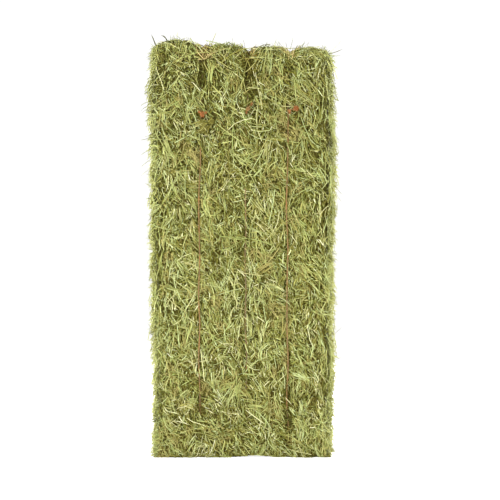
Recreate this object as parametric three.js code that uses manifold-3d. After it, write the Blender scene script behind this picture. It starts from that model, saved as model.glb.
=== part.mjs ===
// A square hay bale standing on its end, as it leaves a three-twine baler: fourteen pressed flakes of
// dried grass stacked along the bale's length, held together by three loops of orange baler twine.
// Each loop is tied off with one overhand knot high on the front face.
// Millimetres, +Z up, origin in the middle of the footprint. The front face looks along -Y.

import * as THREE from "three";
import { mergeVertices } from "three/addons/utils/BufferGeometryUtils.js";
import Module from "manifold-3d";

const wasm = await Module();
wasm.setup();

// Driving dimensions of the bale
const BALE_HEIGHT = 1215;
const BALE_DEPTH = 382;
const LEFT_REACH = { foot: 257, crown: 271 }; // from the middle to the left side, at the two ends
const RIGHT_REACH = { foot: 263, crown: 270 };
const FLAKE_COUNT = 14;
const FLAKE_GAP = 0.4; // the parting between two flakes
const FLAKE_UNEVENNESS = 0.13; // how far one flake's thickness strays from the mean, as a share
const FLAKE_SHIFT = 3.5; // how far one flake sits out of line with the next
const CROWN_FALL = 20; // the top end is this much lower on the right than on the left

// How a flake's rim is rounded: how far the rim is set in at a height above the flake's end face
const INNER_RIM = [
  { up: 0, inset: 9 },
  { up: 17, inset: 1 },
];
const FOOT_RIM = [
  { up: 0, inset: 13 },
  { up: 9, inset: 3 },
  { up: 30, inset: 0 },
];
const CROWN_RIM = [
  { up: 0, inset: 46 },
  { up: 7, inset: 22 },
  { up: 24, inset: 6 },
  { up: 46, inset: 0 },
];
const CORNER_RADIUS = 42;
const CORNER_STEPS = 2;
const FACE_STEPS = 4; // points along the front and the back, corners apart
const SIDE_STEPS = 3; // points along the left and the right side
const LUMP_RISE = 4; // random swell of the pressed surface

// Locks: coarse bundles of stalks that stand out of the pressed faces
const LOCKS_PER_FLAKE = 5;
const LOCK_LENGTH = { least: 70, most: 118 };
const LOCK_WIDTH = 24;
const LOCK_THICKNESS = 22;
const LOCK_SINK = 3.5; // how deep the middle of a lock lies under the face
const LOCK_CLEARANCE = 9; // least distance from a lock's end to the flake's end faces
const LOCK_EDGE = 58; // least distance from a lock's middle to a corner or a twine

// Twine
const TWINE_RADIUS = 2;
const TWINE_SIDES = 6;
const TWINE_FIT = 0.4; // clearance between the twine and the floor of its groove
const TWINE_SEAT = 1; // how far the twine's middle lies under the face along the straight runs
const TWINE_BITE = { foot: 11, crown: 20 }; // how deep the twine cuts into the two ends
const GROOVE_REACH = 44; // the groove tool stands out this far from the twine
const GROOVE_SPREAD = 30; // half the tool's width there
// One corner of a loop, from the straight run to the end: how deep the twine has sunk into the face,
// and how far along the way from the middle of the bale to the end
const TWINE_CORNER = [
  { sunk: 0, along: 0.45 },
  { sunk: 0, along: 0.77 },
  { sunk: 9, along: 0.9 },
  { sunk: 25, along: 0.975 },
  { sunk: 58, along: 1 },
];
// Where each twine crosses the middle of the front face and the two ends, and where it is knotted
const TWINES = [
  { name: "twine_left", foot: -119, middle: -127, crown: -113, knotHeight: 1009 },
  { name: "twine_middle", foot: 13, middle: 11, crown: 19, knotHeight: 1024 },
  { name: "twine_right", foot: 136, middle: 132, crown: 141, knotHeight: 1027 },
];

// Knot
const KNOT_RADIUS = 6;
const KNOT_STEPS = 24;
const KNOT_SIDES = 5;
const KNOT_OFFSET = 3; // the knot sits this far to the right of the twine's line
const KNOT_JOIN = 3.5; // how far the trefoil and the straight run it is tied in share one body
const KNOT_THICKNESS = KNOT_RADIUS + 2 * TWINE_RADIUS;
const POCKET_RADIUS = { floor: 38, mouth: 46 }; // the hay is pressed flat behind the knot and its tails
const POCKET_DEPTH = 24;
const POCKET_SIDES = 8;
const TAILS = [
  { across: 22, up: 16 },
  { across: 20, up: -7 },
];
const TAIL_BEND = { out: 3, up: 4 }; // how far the middle of a tail arches
const TAIL_SIDES = 5;
const TAIL_STEPS = 2;

const HAY_COLOUR = 0x949457;
const TWINE_COLOUR = 0xb4683a;
const RANDOM_SEED = 20;

// A seeded run of numbers from 0 to 1 (mulberry32), so that every build gives the same bale
function seededRandom(seed) {
  let state = seed >>> 0;
  return () => {
    state = (state + 0x6d2b79f5) >>> 0;
    let mixed = Math.imul(state ^ (state >>> 15), state | 1);
    mixed ^= mixed + Math.imul(mixed ^ (mixed >>> 7), mixed | 61);
    return ((mixed ^ (mixed >>> 14)) >>> 0) / 2 ** 32;
  };
}

const random = seededRandom(RANDOM_SEED);
const spread = (reach) => (2 * random() - 1) * reach;
const between = (range) => range.least + (range.most - range.least) * random();
const lerp = THREE.MathUtils.lerp;

// Solids

// A closed geometry as a solid that can be joined and cut
function solidFrom(geometry, matrix = new THREE.Matrix4()) {
  const bare = geometry.clone().applyMatrix4(matrix);
  bare.deleteAttribute("normal");
  bare.deleteAttribute("uv");
  const merged = mergeVertices(bare, 1e-3);
  return new wasm.Manifold(
    new wasm.Mesh({
      numProp: 3,
      vertProperties: merged.attributes.position.array,
      triVerts: new Uint32Array(merged.index.array),
    }),
  );
}

function meshFrom(solid, name, material) {
  const { numProp, vertProperties, triVerts } = solid.getMesh();
  if (numProp !== 3) throw new Error(`${name} carries more than positions`);
  const geometry = new THREE.BufferGeometry();
  geometry.setAttribute("position", new THREE.BufferAttribute(vertProperties, 3));
  geometry.setIndex(new THREE.BufferAttribute(triVerts, 1));
  geometry.computeVertexNormals();
  const mesh = new THREE.Mesh(geometry, material);
  mesh.name = name;
  return mesh;
}

// A closed skin through rings of equal length, anticlockwise seen from above and stacked upwards,
// with a fan of triangles over each end
function loftGeometry(rings) {
  const size = rings[0].length;
  const middleOf = (ring) => ring.reduce((sum, p) => sum.add(p), new THREE.Vector3()).divideScalar(size);
  const points = [...rings.flat(), middleOf(rings[0]), middleOf(rings.at(-1))];
  const foot = rings.length * size;
  const crown = foot + 1;
  const lastRing = (rings.length - 1) * size;
  const index = [];
  for (let side = 0; side < size; side++) {
    const next = (side + 1) % size;
    for (let low = 0; low < lastRing; low += size) {
      const high = low + size;
      index.push(low + side, low + next, high + next, low + side, high + next, high + side);
    }
    index.push(foot, next, side, crown, lastRing + side, lastRing + next);
  }
  return new THREE.BufferGeometry().setFromPoints(points).setIndex(index);
}

// Flakes

// Each flake's lowest and highest level: the thicknesses swing about the mean and fill the height
function flakeLevels() {
  const shares = Array.from({ length: FLAKE_COUNT }, () => 1 + spread(FLAKE_UNEVENNESS));
  const total = shares.reduce((sum, share) => sum + share, 0);
  let level = 0;
  return shares.map((share) => {
    const low = level;
    level += (share / total) * BALE_HEIGHT;
    return { low, high: level };
  });
}

// The four faces of the bale at a height: the sides lean in a little towards the foot
function facesAt(height, shift) {
  const up = height / BALE_HEIGHT;
  return {
    left: -lerp(LEFT_REACH.foot, LEFT_REACH.crown, up) + shift.x,
    right: lerp(RIGHT_REACH.foot, RIGHT_REACH.crown, up) + shift.x,
    front: -BALE_DEPTH / 2 + shift.y,
    back: BALE_DEPTH / 2 + shift.y,
  };
}

// One ring of the rim: a rounded rectangle, anticlockwise seen from above, set in from the faces
function rimRing(faces, inset, height, swell) {
  const [left, right] = [faces.left + inset, faces.right - inset];
  const [front, back] = [faces.front + inset, faces.back - inset];
  const radius = CORNER_RADIUS;
  const corners = [
    { x: right - radius, y: front + radius, turn: -Math.PI / 2, steps: SIDE_STEPS },
    { x: right - radius, y: back - radius, turn: 0, steps: FACE_STEPS },
    { x: left + radius, y: back - radius, turn: Math.PI / 2, steps: SIDE_STEPS },
    { x: left + radius, y: front + radius, turn: Math.PI, steps: FACE_STEPS },
  ];
  const onCorner = (corner, share) => {
    const angle = corner.turn + (share * Math.PI) / 2;
    const outward = new THREE.Vector3(Math.cos(angle), Math.sin(angle), 0);
    return new THREE.Vector3(corner.x, corner.y, height).addScaledVector(outward, radius);
  };
  const ring = [];
  corners.forEach((corner, number) => {
    for (let step = 0; step <= CORNER_STEPS; step++) ring.push(onCorner(corner, step / CORNER_STEPS));
    const from = onCorner(corner, 1);
    const to = onCorner(corners[(number + 1) % corners.length], 0);
    const outward = new THREE.Vector3(to.y - from.y, from.x - to.x, 0).normalize();
    for (let step = 1; step < corner.steps; step++) {
      const point = from.clone().lerp(to, step / corner.steps);
      ring.push(point.addScaledVector(outward, spread(swell)));
    }
  });
  return ring;
}

// The top end falls away to the right, more so the nearer a point is to the end face
function leanCrown(ring, faces, share) {
  for (const point of ring) {
    point.z -= CROWN_FALL * share * ((point.x - faces.left) / (faces.right - faces.left));
  }
}

// A pressed slab of hay with a rounded, lumpy rim
function flakeSlab(level, number, shift) {
  const isFoot = number === 0;
  const isCrown = number === FLAKE_COUNT - 1;
  const low = level.low + (isFoot ? 0 : FLAKE_GAP / 2);
  const high = level.high - (isCrown ? 0 : FLAKE_GAP / 2);
  const lowRim = isFoot ? FOOT_RIM : INNER_RIM;
  const highRim = isCrown ? CROWN_RIM : INNER_RIM;
  const middle = facesAt((low + high) / 2, shift);
  const rings = lowRim.map((rim) => rimRing(middle, rim.inset, low + rim.up, rim.up ? LUMP_RISE : 0));
  for (const rim of [...highRim].reverse()) {
    const ring = rimRing(middle, rim.inset, high - rim.up, rim.up ? LUMP_RISE : 0);
    if (isCrown) leanCrown(ring, middle, 1 - rim.up / (CROWN_RIM.at(-1).up * 2));
    rings.push(ring);
  }
  return solidFrom(loftGeometry(rings));
}

// A place on the front, back, left or right face, clear of the corners and of the twines' grooves
function lockPlace(faces, side) {
  if (side === "left" || side === "right") {
    const y = spread(BALE_DEPTH / 2 - LOCK_EDGE);
    return { x: faces[side], y, turn: Math.PI / 2, sign: side === "right" ? 1 : -1 };
  }
  let x;
  do {
    x = lerp(faces.left, faces.right, random());
  } while (
    x - faces.left < LOCK_EDGE ||
    faces.right - x < LOCK_EDGE ||
    TWINES.some((twine) => Math.abs(x - twine.middle) < LOCK_EDGE)
  );
  return { x, y: faces[side], turn: 0, sign: side === "back" ? 1 : -1 };
}

// A bundle of stalks: a long eight-sided spindle half sunk in the face, slanting at random
function lockSolid(level, shift, side) {
  const room = (level.high - level.low) / 2 - LOCK_CLEARANCE;
  const halfLength = between(LOCK_LENGTH) / 2;
  const steepest = Math.asin(Math.min(1, room / halfLength));
  const slant = spread(steepest);
  const height = (level.low + level.high) / 2 + spread(room - halfLength * Math.abs(Math.sin(slant)));
  const place = lockPlace(facesAt(height, shift), side);
  const matrix = new THREE.Matrix4()
    .makeRotationZ(place.turn)
    .multiply(new THREE.Matrix4().makeRotationY(slant))
    .scale(new THREE.Vector3(halfLength, LOCK_THICKNESS / 2, LOCK_WIDTH / 2));
  const sunk = LOCK_SINK * place.sign;
  const isSide = side === "left" || side === "right";
  matrix.setPosition(place.x - (isSide ? sunk : 0), place.y - (isSide ? 0 : sunk), height);
  return solidFrom(new THREE.OctahedronGeometry(1), matrix);
}

function flakeMesh(level, number, grooves) {
  const shift = { x: spread(FLAKE_SHIFT), y: spread(FLAKE_SHIFT) };
  let solid = flakeSlab(level, number, shift);
  const rounded = number === FLAKE_COUNT - 1 ? CROWN_RIM.at(-1).up : 0;
  const straight = { low: level.low, high: level.high - rounded };
  const sides = ["front", "back", "left", "right", number % 2 ? "front" : "back"];
  for (let lock = 0; lock < LOCKS_PER_FLAKE; lock++) {
    solid = solid.add(lockSolid(straight, shift, sides[lock]));
  }
  for (const groove of grooves) solid = solid.subtract(groove);
  const name = `flake_${String(number + 1).padStart(2, "0")}`;
  const material = new THREE.MeshStandardMaterial({ color: HAY_COLOUR, roughness: 0.9, metalness: 0 });
  return meshFrom(solid, name, material);
}

// Twine

// A closed loop whose stations follow its points, so that they gather where it bends
class TwineLoop extends THREE.CatmullRomCurve3 {
  getPointAt(share, target) {
    return this.getPoint(share, target);
  }

  getTangentAt(share, target) {
    return this.getTangent(share, target);
  }
}

// A stretch of a loop, from one share of the way round to another
class LoopStretch extends THREE.Curve {
  constructor(loop, from, to) {
    super();
    Object.assign(this, { loop, from, to });
  }

  getPoint(share, target) {
    const at = THREE.MathUtils.euclideanModulo(lerp(this.from, this.to, share), 1);
    return this.loop.getPoint(at, target);
  }

  getPointAt(share, target) {
    return this.getPoint(share, target);
  }

  getTangentAt(share, target) {
    return this.getTangent(share, target);
  }
}

// Where a twine runs across the bale's width at a height: it bows out towards both ends
function twineAcross(twine, height) {
  const up = (2 * height) / BALE_HEIGHT - 1;
  const end = up > 0 ? twine.crown : twine.foot;
  return lerp(twine.middle, end, up * up);
}

// The loop starts half way up the front, climbs, crosses the top end, comes down the back and returns
// under the foot. Near the ends it bites into the hay.
function twineLoop(twine) {
  const face = BALE_DEPTH / 2 - TWINE_SEAT;
  const middle = BALE_HEIGHT / 2;
  const crownX = THREE.MathUtils.mapLinear(twine.crown, -LEFT_REACH.crown, RIGHT_REACH.crown, 0, 1);
  const crownEnd = BALE_HEIGHT - CROWN_FALL * crownX - TWINE_BITE.crown;
  const footEnd = TWINE_BITE.foot;
  const overEnd = (end) => {
    const corner = TWINE_CORNER.map(({ sunk, along }) => ({ y: face - sunk, z: lerp(middle, end, along) }));
    const front = corner.map(({ y, z }) => ({ y: -y, z }));
    return [...front, { y: 0, z: end }, ...corner.reverse()];
  };
  const route = [
    { y: -face, z: middle },
    ...overEnd(crownEnd),
    { y: face, z: middle },
    ...overEnd(footEnd).reverse(),
  ];
  const points = route.map(({ y, z }) => new THREE.Vector3(twineAcross(twine, z), y, z));
  return new TwineLoop(points, true, "centripetal");
}

// What the twine presses out of the hay: a trough that opens outwards, in two halves that start on the
// front face and overlap by one point at both ends
function grooveSolids(loop) {
  const floor = TWINE_RADIUS + TWINE_FIT;
  const section = new THREE.Shape([
    new THREE.Vector2(-floor, -floor),
    new THREE.Vector2(GROOVE_REACH, -GROOVE_SPREAD),
    new THREE.Vector2(GROOVE_REACH, GROOVE_SPREAD),
    new THREE.Vector2(-floor, floor),
  ]);
  const step = 1 / loop.points.length;
  const steps = loop.points.length / 2 + 2;
  return [1, -1].map((way) => {
    const extrudePath = new LoopStretch(loop, -way * step, way * (0.5 + step));
    return solidFrom(new THREE.ExtrudeGeometry(section, { steps, extrudePath }));
  });
}

// A loose end of the knot: a short bent tube
function tailSolid(from, reach) {
  const to = from.clone().add(reach);
  const bend = from.clone().lerp(to, 0.5).add(new THREE.Vector3(0, -TAIL_BEND.out, TAIL_BEND.up));
  const section = new THREE.Shape();
  const corner = (number) => {
    const angle = (2 * Math.PI * number) / TAIL_SIDES;
    return [TWINE_RADIUS * Math.cos(angle), TWINE_RADIUS * Math.sin(angle)];
  };
  section.moveTo(...corner(0));
  for (let number = 1; number < TAIL_SIDES; number++) section.lineTo(...corner(number));
  section.closePath();
  const extrudePath = new THREE.QuadraticBezierCurve3(from, bend, to);
  return solidFrom(new THREE.ExtrudeGeometry(section, { steps: TAIL_STEPS, extrudePath }));
}

// The middle of the knot, just in front of its twine
function knotMiddle(twine) {
  const onTwine = BALE_DEPTH / 2 - TWINE_SEAT + TWINE_RADIUS;
  const x = twineAcross(twine, twine.knotHeight) + KNOT_OFFSET;
  return new THREE.Vector3(x, -onTwine - KNOT_THICKNESS / 2 + KNOT_JOIN, twine.knotHeight);
}

// What the knot and its tails press out of the hay: a shallow dish
function pocketSolid(twine) {
  const { floor, mouth } = POCKET_RADIUS;
  const dish = new THREE.CylinderGeometry(floor, mouth, POCKET_DEPTH, POCKET_SIDES);
  const middle = knotMiddle(twine);
  middle.y += KNOT_THICKNESS / 2 + TWINE_FIT - POCKET_DEPTH / 2;
  return solidFrom(dish, new THREE.Matrix4().setPosition(middle));
}

// The overhand knot is a trefoil, lying flat on the front face with its two tails beside it
function knotSolid(twine) {
  const middle = knotMiddle(twine);
  const matrix = new THREE.Matrix4().makeRotationX(Math.PI / 2).setPosition(middle);
  const trefoil = new THREE.TorusKnotGeometry(KNOT_RADIUS, TWINE_RADIUS, KNOT_STEPS, KNOT_SIDES, 2, 3);
  const start = middle.clone().add(new THREE.Vector3(KNOT_RADIUS, 0, 0));
  const tails = TAILS.map(({ across, up }) => tailSolid(start, new THREE.Vector3(across, 0, up)));
  return tails.reduce((knot, tail) => knot.add(tail), solidFrom(trefoil, matrix));
}

function twineMesh(loop, twine) {
  const tube = new THREE.TubeGeometry(loop, loop.points.length, TWINE_RADIUS, TWINE_SIDES, true);
  const solid = solidFrom(tube).add(knotSolid(twine));
  const material = new THREE.MeshStandardMaterial({ color: TWINE_COLOUR, roughness: 0.55, metalness: 0 });
  return meshFrom(solid, twine.name, material);
}

// The bale

const bale = new THREE.Group();
bale.name = "square_hay_bale";
const loops = TWINES.map(twineLoop);
const grooves = [...loops.flatMap(grooveSolids), ...TWINES.map(pocketSolid)];
flakeLevels().forEach((level, number) => bale.add(flakeMesh(level, number, grooves)));
loops.forEach((loop, number) => bale.add(twineMesh(loop, TWINES[number])));

export default bale;
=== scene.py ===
"""A square bale of meadow hay standing on its end, tied with three loops of baler twine.

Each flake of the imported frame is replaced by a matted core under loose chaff, blades, stems and
hairs, and each loop by a twisted two-ply strand with its knot and frayed tails. All lengths are in
metres in the frame's own axes: X across the bale, Y through its depth, Z up its length.
"""

import logging
import math
from dataclasses import dataclass, field
from enum import Enum

import bpy
import numpy as np
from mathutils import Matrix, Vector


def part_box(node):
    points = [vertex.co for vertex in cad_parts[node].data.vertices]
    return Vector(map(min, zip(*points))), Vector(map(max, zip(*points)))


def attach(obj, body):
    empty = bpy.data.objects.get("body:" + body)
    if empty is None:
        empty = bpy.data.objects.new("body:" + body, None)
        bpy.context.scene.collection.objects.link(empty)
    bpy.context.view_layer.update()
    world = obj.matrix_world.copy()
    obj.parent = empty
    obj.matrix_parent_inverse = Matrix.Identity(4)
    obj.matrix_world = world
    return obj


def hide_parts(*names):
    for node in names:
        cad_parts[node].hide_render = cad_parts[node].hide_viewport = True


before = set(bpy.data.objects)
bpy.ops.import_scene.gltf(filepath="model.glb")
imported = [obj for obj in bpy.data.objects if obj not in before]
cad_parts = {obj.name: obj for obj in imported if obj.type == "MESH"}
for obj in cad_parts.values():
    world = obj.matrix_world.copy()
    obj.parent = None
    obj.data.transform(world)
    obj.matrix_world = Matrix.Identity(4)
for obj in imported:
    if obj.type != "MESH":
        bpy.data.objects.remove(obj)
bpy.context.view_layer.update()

LOG = logging.getLogger("hay_bale")
UV_NAME = "OFBake"
BODY = "root"
SEED = 20
# Strides of the two-dimensional golden sequence, which fills an area evenly
EVEN_STRIDES = (0.7548776662, 0.5698402910)
# Least length that anything is divided by
NEAR_ZERO = 1e-9
# Places on a palette stay between these
PALETTE_ENDS = (0.01, 0.99)
# How far the crown falls from the left edge to the right
CROWN_FALL = 0.020
WHITE = (1.0, 1.0, 1.0, 1.0)


def linear(hex_colour: str) -> tuple[float, float, float, float]:
    """Turns an sRGB hex colour into linear light.

    Small shares are divided by 12.92, and larger ones follow a power of 2.4.

    Args:
        hex_colour: Six hex digits, two for each of red, green and blue.

    Returns:
        The linear colour with full alpha.
    """
    shares = [int(hex_colour[i:i + 2], 16) / 255 for i in (0, 2, 4)]
    light = [s / 12.92 if s <= 0.04045 else ((s + 0.055) / 1.055) ** 2.4 for s in shares]
    return (*light, 1.0)


def unit(vectors: np.ndarray) -> np.ndarray:
    """Scales vectors to length one, leaving those of no length at zero."""
    return vectors / np.maximum(np.linalg.norm(vectors, axis=-1, keepdims=True), NEAR_ZERO)


def smooth_step(value: np.ndarray, low: float, high: float) -> np.ndarray:
    """Rises from 0 at low to 1 at high along the cubic 3t squared less 2t cubed."""
    share = np.clip((value - low) / (high - low), 0, 1)
    return share * share * (3 - 2 * share)


def add_node(tree: bpy.types.NodeTree, kind: str, settings: dict, links: dict) -> bpy.types.Node:
    """Adds a node with its settings and links.

    Args:
        tree: Node tree that gets the node.
        kind: Blender's name for the type of node.
        settings: Node attributes, or values of input sockets by name or index.
        links: Output sockets by the name or index of the input that they feed.

    Returns:
        The new node.
    """
    node = tree.nodes.new(kind)
    for key, value in settings.items():
        if isinstance(key, str) and hasattr(node, key):
            setattr(node, key, value)
        else:
            node.inputs[key].default_value = value
    for key, socket in links.items():
        tree.links.new(socket, node.inputs[key])
    return node


def split_quads(a: np.ndarray, b: np.ndarray, c: np.ndarray, d: np.ndarray) -> np.ndarray:
    """Splits four-cornered faces, given by the numbers of their corners in turn, in triangles."""
    return np.concatenate([np.stack([a, b, c], -1), np.stack([a, c, d], -1)]).reshape(-1, 3)


@dataclass(frozen=True)
class Drift:
    """A smooth random field: sine waves of one length, in random directions, added up."""

    wavelength: float
    seed: int
    waves: int = 16

    def at(self, points: np.ndarray) -> np.ndarray:
        """Reads the field.

        Args:
            points: Places, with x, y and z on the last axis.

        Returns:
            One value for each place, about 0 with a spread of 1.
        """
        rng = np.random.default_rng(self.seed)
        ways = unit(rng.normal(size=(self.waves, 3))) * math.tau / self.wavelength
        phases = rng.uniform(0, math.tau, self.waves)
        return np.sin(points @ ways.T + phases).sum(-1) * math.sqrt(2 / self.waves)


@dataclass
class Solid:
    """Corners, triangles and palette places of closed skins that make one piece."""

    places: np.ndarray
    faces: np.ndarray
    palette: np.ndarray

    @staticmethod
    def joined(parts: list["Solid"]) -> "Solid":
        """Puts several skins into one, with their corners counted on.

        Args:
            parts: The skins to join.

        Returns:
            One skin that holds them all.
        """
        counts = np.cumsum([0] + [len(part.places) for part in parts[:-1]])
        return Solid(
            np.concatenate([part.places for part in parts]),
            np.concatenate([part.faces + start for part, start in zip(parts, counts)]),
            np.concatenate([part.palette for part in parts]),
        )

    def make_object(self, name: str, material: bpy.types.Material) -> bpy.types.Object:
        """Makes a mesh object at the origin from the arrays.

        Args:
            name: Name of the object.
            material: Finish of all its faces.

        Returns:
            The object, linked to the scene.
        """
        mesh = bpy.data.meshes.new(name)
        loops = self.faces.ravel()
        mesh.vertices.add(len(self.places))
        above_floor = np.maximum(self.places, [-np.inf, -np.inf, 0])
        mesh.vertices.foreach_set("co", above_floor.astype(np.float32).ravel())
        mesh.loops.add(len(loops))
        mesh.loops.foreach_set("vertex_index", loops.astype(np.int32))
        mesh.polygons.add(len(self.faces))
        mesh.polygons.foreach_set("loop_start", np.arange(0, len(loops), 3, dtype=np.int32))
        mesh.update(calc_edges=True)
        layer = mesh.uv_layers.new(name=UV_NAME)
        layer.data.foreach_set("uv", self.palette[loops].astype(np.float32).ravel())
        mesh.materials.append(material)
        piece = bpy.data.objects.new(name, mesh)
        bpy.context.scene.collection.objects.link(piece)
        return piece


@dataclass(frozen=True)
class PaletteFinish:
    """A matte plant or plastic fibre whose colour is read from a palette.

    Each fibre has its own place on the palette: across it the hue goes from the first colour to the
    last, and up it the shade goes from deep and warm to full light.
    """

    name: str
    hues: tuple[tuple[float, str], ...]
    shades: tuple[tuple[float, str], ...]
    rough_first: float
    rough_last: float
    ior: float
    gloss: float

    def make(self) -> bpy.types.Material:
        """Builds the material.

        Returns:
            A Principled material that reads the palette place from the piece's UV map.
        """
        material = bpy.data.materials.new(self.name)
        material.use_nodes = True
        tree = material.node_tree
        shader = tree.nodes["Principled BSDF"]
        shader.inputs["IOR"].default_value = self.ior
        shader.inputs["Specular IOR Level"].default_value = self.gloss
        place = add_node(tree, "ShaderNodeUVMap", {"uv_map": UV_NAME}, {})
        parts = add_node(tree, "ShaderNodeSeparateXYZ", {}, {"Vector": place.outputs["UV"]})
        ramps = []
        for stops, axis in ((self.hues, "X"), (self.shades, "Y")):
            ramp = add_node(tree, "ShaderNodeValToRGB", {}, {"Fac": parts.outputs[axis]})
            elements = ramp.color_ramp.elements
            elements[0].color = linear(stops[0][1])
            elements[1].color = linear(stops[-1][1])
            for share, colour in stops[1:-1]:
                elements.new(share).color = linear(colour)
            ramps.append(ramp.outputs["Color"])
        colour = add_node(
            tree, "ShaderNodeVectorMath", {"operation": "MULTIPLY"}, {0: ramps[0], 1: ramps[1]}
        )
        rough = add_node(
            tree,
            "ShaderNodeMapRange",
            {"To Min": self.rough_first, "To Max": self.rough_last},
            {"Value": parts.outputs["X"]},
        )
        tree.links.new(colour.outputs["Vector"], shader.inputs["Base Color"])
        tree.links.new(rough.outputs["Result"], shader.inputs["Roughness"])
        return material


# Sun-dried meadow grass: broken stems and curled blades, matte, bleached straw over olive green,
# with a waxy skin on the pale stems that catches a little light
DRIED_GRASS = PaletteFinish(
    name="dried_meadow_grass",
    hues=(
        (0.0, "c9b47a"),
        (0.13, "8e8450"),
        (0.28, "a6a05c"),
        (0.42, "98a460"),
        (0.56, "b4b571"),
        (0.70, "b2bf89"),
        (0.84, "d0d19c"),
        (1.0, "ebebca"),
    ),
    # The deep, warm end of the shades is the colour of painted shade among the stems
    shades=((0.0, "5c5408"), (0.35, "a29c5e"), (0.7, "dcdac6"), (1.0, "ffffff")),
    rough_first=0.85,
    rough_last=0.5,
    ior=1.45,
    gloss=0.25,
)

# Split-film polypropylene: faded rust orange, twisted in two plies, dull from dust and sun
BALER_TWINE = PaletteFinish(
    name="split_film_polypropylene",
    hues=((0.0, "6c5d33"), (0.4, "8f6f38"), (0.7, "b0672f"), (1.0, "b87f45")),
    shades=((0.0, "808080"), (1.0, "ffffff")),
    rough_first=0.6,
    rough_last=0.5,
    ior=1.49,
    gloss=0.4,
)


@dataclass(frozen=True)
class TwineTail:
    """A cut end of twine that stands out of a knot, swings out or in, and is split into fibres."""

    reach: tuple[float, float, float]
    spread: float
    fibres: int
    length: float
    bulge: float = -0.003


@dataclass(frozen=True)
class TwineRoute:
    """Where one loop of twine runs round the length of the bale."""

    node: str
    # Places across the bale at the foot, halfway up and at the crown
    foot: float
    middle: float
    crown: float
    # The knot's height, and the share of stems that are cleared off it
    knot_height: float
    knot_bare: float
    # Heights between which the twine shows, and the share of stems that lie over it there
    bare: tuple[float, float]
    buried: float
    tails: tuple[TwineTail, ...]
    # Heights between which the hay is slit beside the twine
    slits: tuple[tuple[float, float], ...]
    # How far it dips the crown and fades the hay there, and how dull its own colour is
    crown_dip: float
    bleached: float
    dull: float
    knot_size: float = 1.0
    # The bale's size, and how far the loop sinks at its faces, ends and corners
    height: float = 1.215
    depth: float = 0.382
    seat: float = 0.001
    foot_bite: float = 0.011
    crown_bite: float = 0.020
    left_crown: float = -0.271
    right_crown: float = 0.270
    corner_sunk: tuple[float, ...] = (0.0, 0.004, 0.011, 0.018, 0.028, 0.058)
    corner_along: tuple[float, ...] = (0.45, 0.62, 0.77, 0.9, 0.975, 1.0)

    def across(self, height: np.ndarray) -> np.ndarray:
        """Gives the loop's place across the bale at a height.

        It leaves the middle's place by the square of the way to the crown or to the foot.

        Args:
            height: Heights above the floor.

        Returns:
            Places along X.
        """
        up = np.clip(2 * height / self.height - 1, -1, 1)
        end = np.where(up > 0, self.crown, self.foot)
        return self.middle + (end - self.middle) * up**2

    def loop(self, step: float) -> np.ndarray:
        """Lays the loop through its corner points as a closed centripetal Catmull-Rom curve.

        Args:
            step: Distance between neighbouring points of the result.

        Returns:
            Points round the loop, evenly spaced, the first not repeated.
        """
        face = self.depth / 2 - self.seat
        middle = self.height / 2
        fall = CROWN_FALL * (self.crown - self.left_crown) / (self.right_crown - self.left_crown)
        ends = (self.height - fall - self.crown_bite, self.foot_bite)
        sunk = np.array(self.corner_sunk)
        along = np.array(self.corner_along)
        half = [
            np.concatenate([
                [[-face, middle]],
                np.stack([sunk - face, middle + (end - middle) * along], -1),
                [[0, end]],
                np.stack([face - sunk, middle + (end - middle) * along], -1)[::-1],
                [[face, middle]],
            ])
            for end in ends
        ]
        turns = np.concatenate([half[0][:-1], half[1][::-1][:-1]])
        knots = np.column_stack([self.across(turns[:, 1]), turns])
        return even_steps(centripetal(knots), step)


def centripetal(knots: np.ndarray, samples: int = 24) -> np.ndarray:
    """Draws a closed centripetal Catmull-Rom curve.

    Each span is a cubic Hermite curve; its end slopes weigh the neighbouring chords by the square
    root of their lengths.

    Args:
        knots: Points that the curve goes through.
        samples: Points drawn on each span.

    Returns:
        Points along the curve, the first not repeated.
    """
    p0, p1, p2, p3 = (np.roll(knots, shift, axis=0) for shift in (1, 0, -1, -2))
    d0, d1, d2 = (
        np.sqrt(np.linalg.norm(b - a, axis=1, keepdims=True))
        for a, b in ((p0, p1), (p1, p2), (p2, p3))
    )
    start = ((p1 - p0) / d0 - (p2 - p0) / (d0 + d1) + (p2 - p1) / d1) * d1
    finish = ((p2 - p1) / d1 - (p3 - p1) / (d1 + d2) + (p3 - p2) / d2) * d1
    t = np.linspace(0, 1, samples, endpoint=False)[None, :, None]
    curve = (
        (2 * t**3 - 3 * t**2 + 1) * p1[:, None]
        + (t**3 - 2 * t**2 + t) * start[:, None]
        + (3 * t**2 - 2 * t**3) * p2[:, None]
        + (t**3 - t**2) * finish[:, None]
    )
    return curve.reshape(-1, 3)


def even_steps(points: np.ndarray, step: float) -> np.ndarray:
    """Spaces points evenly by length round a closed line.

    Args:
        points: Points of the line, the first not repeated.
        step: Wanted distance between neighbours.

    Returns:
        Evenly spaced points, the first not repeated.
    """
    ring = np.concatenate([points, points[:1]])
    run = np.concatenate([[0], np.cumsum(np.linalg.norm(np.diff(ring, axis=0), axis=1))])
    marks = np.linspace(0, run[-1], round(run[-1] / step), endpoint=False)
    return np.column_stack([np.interp(marks, run, ring[:, axis]) for axis in range(3)])


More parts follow.
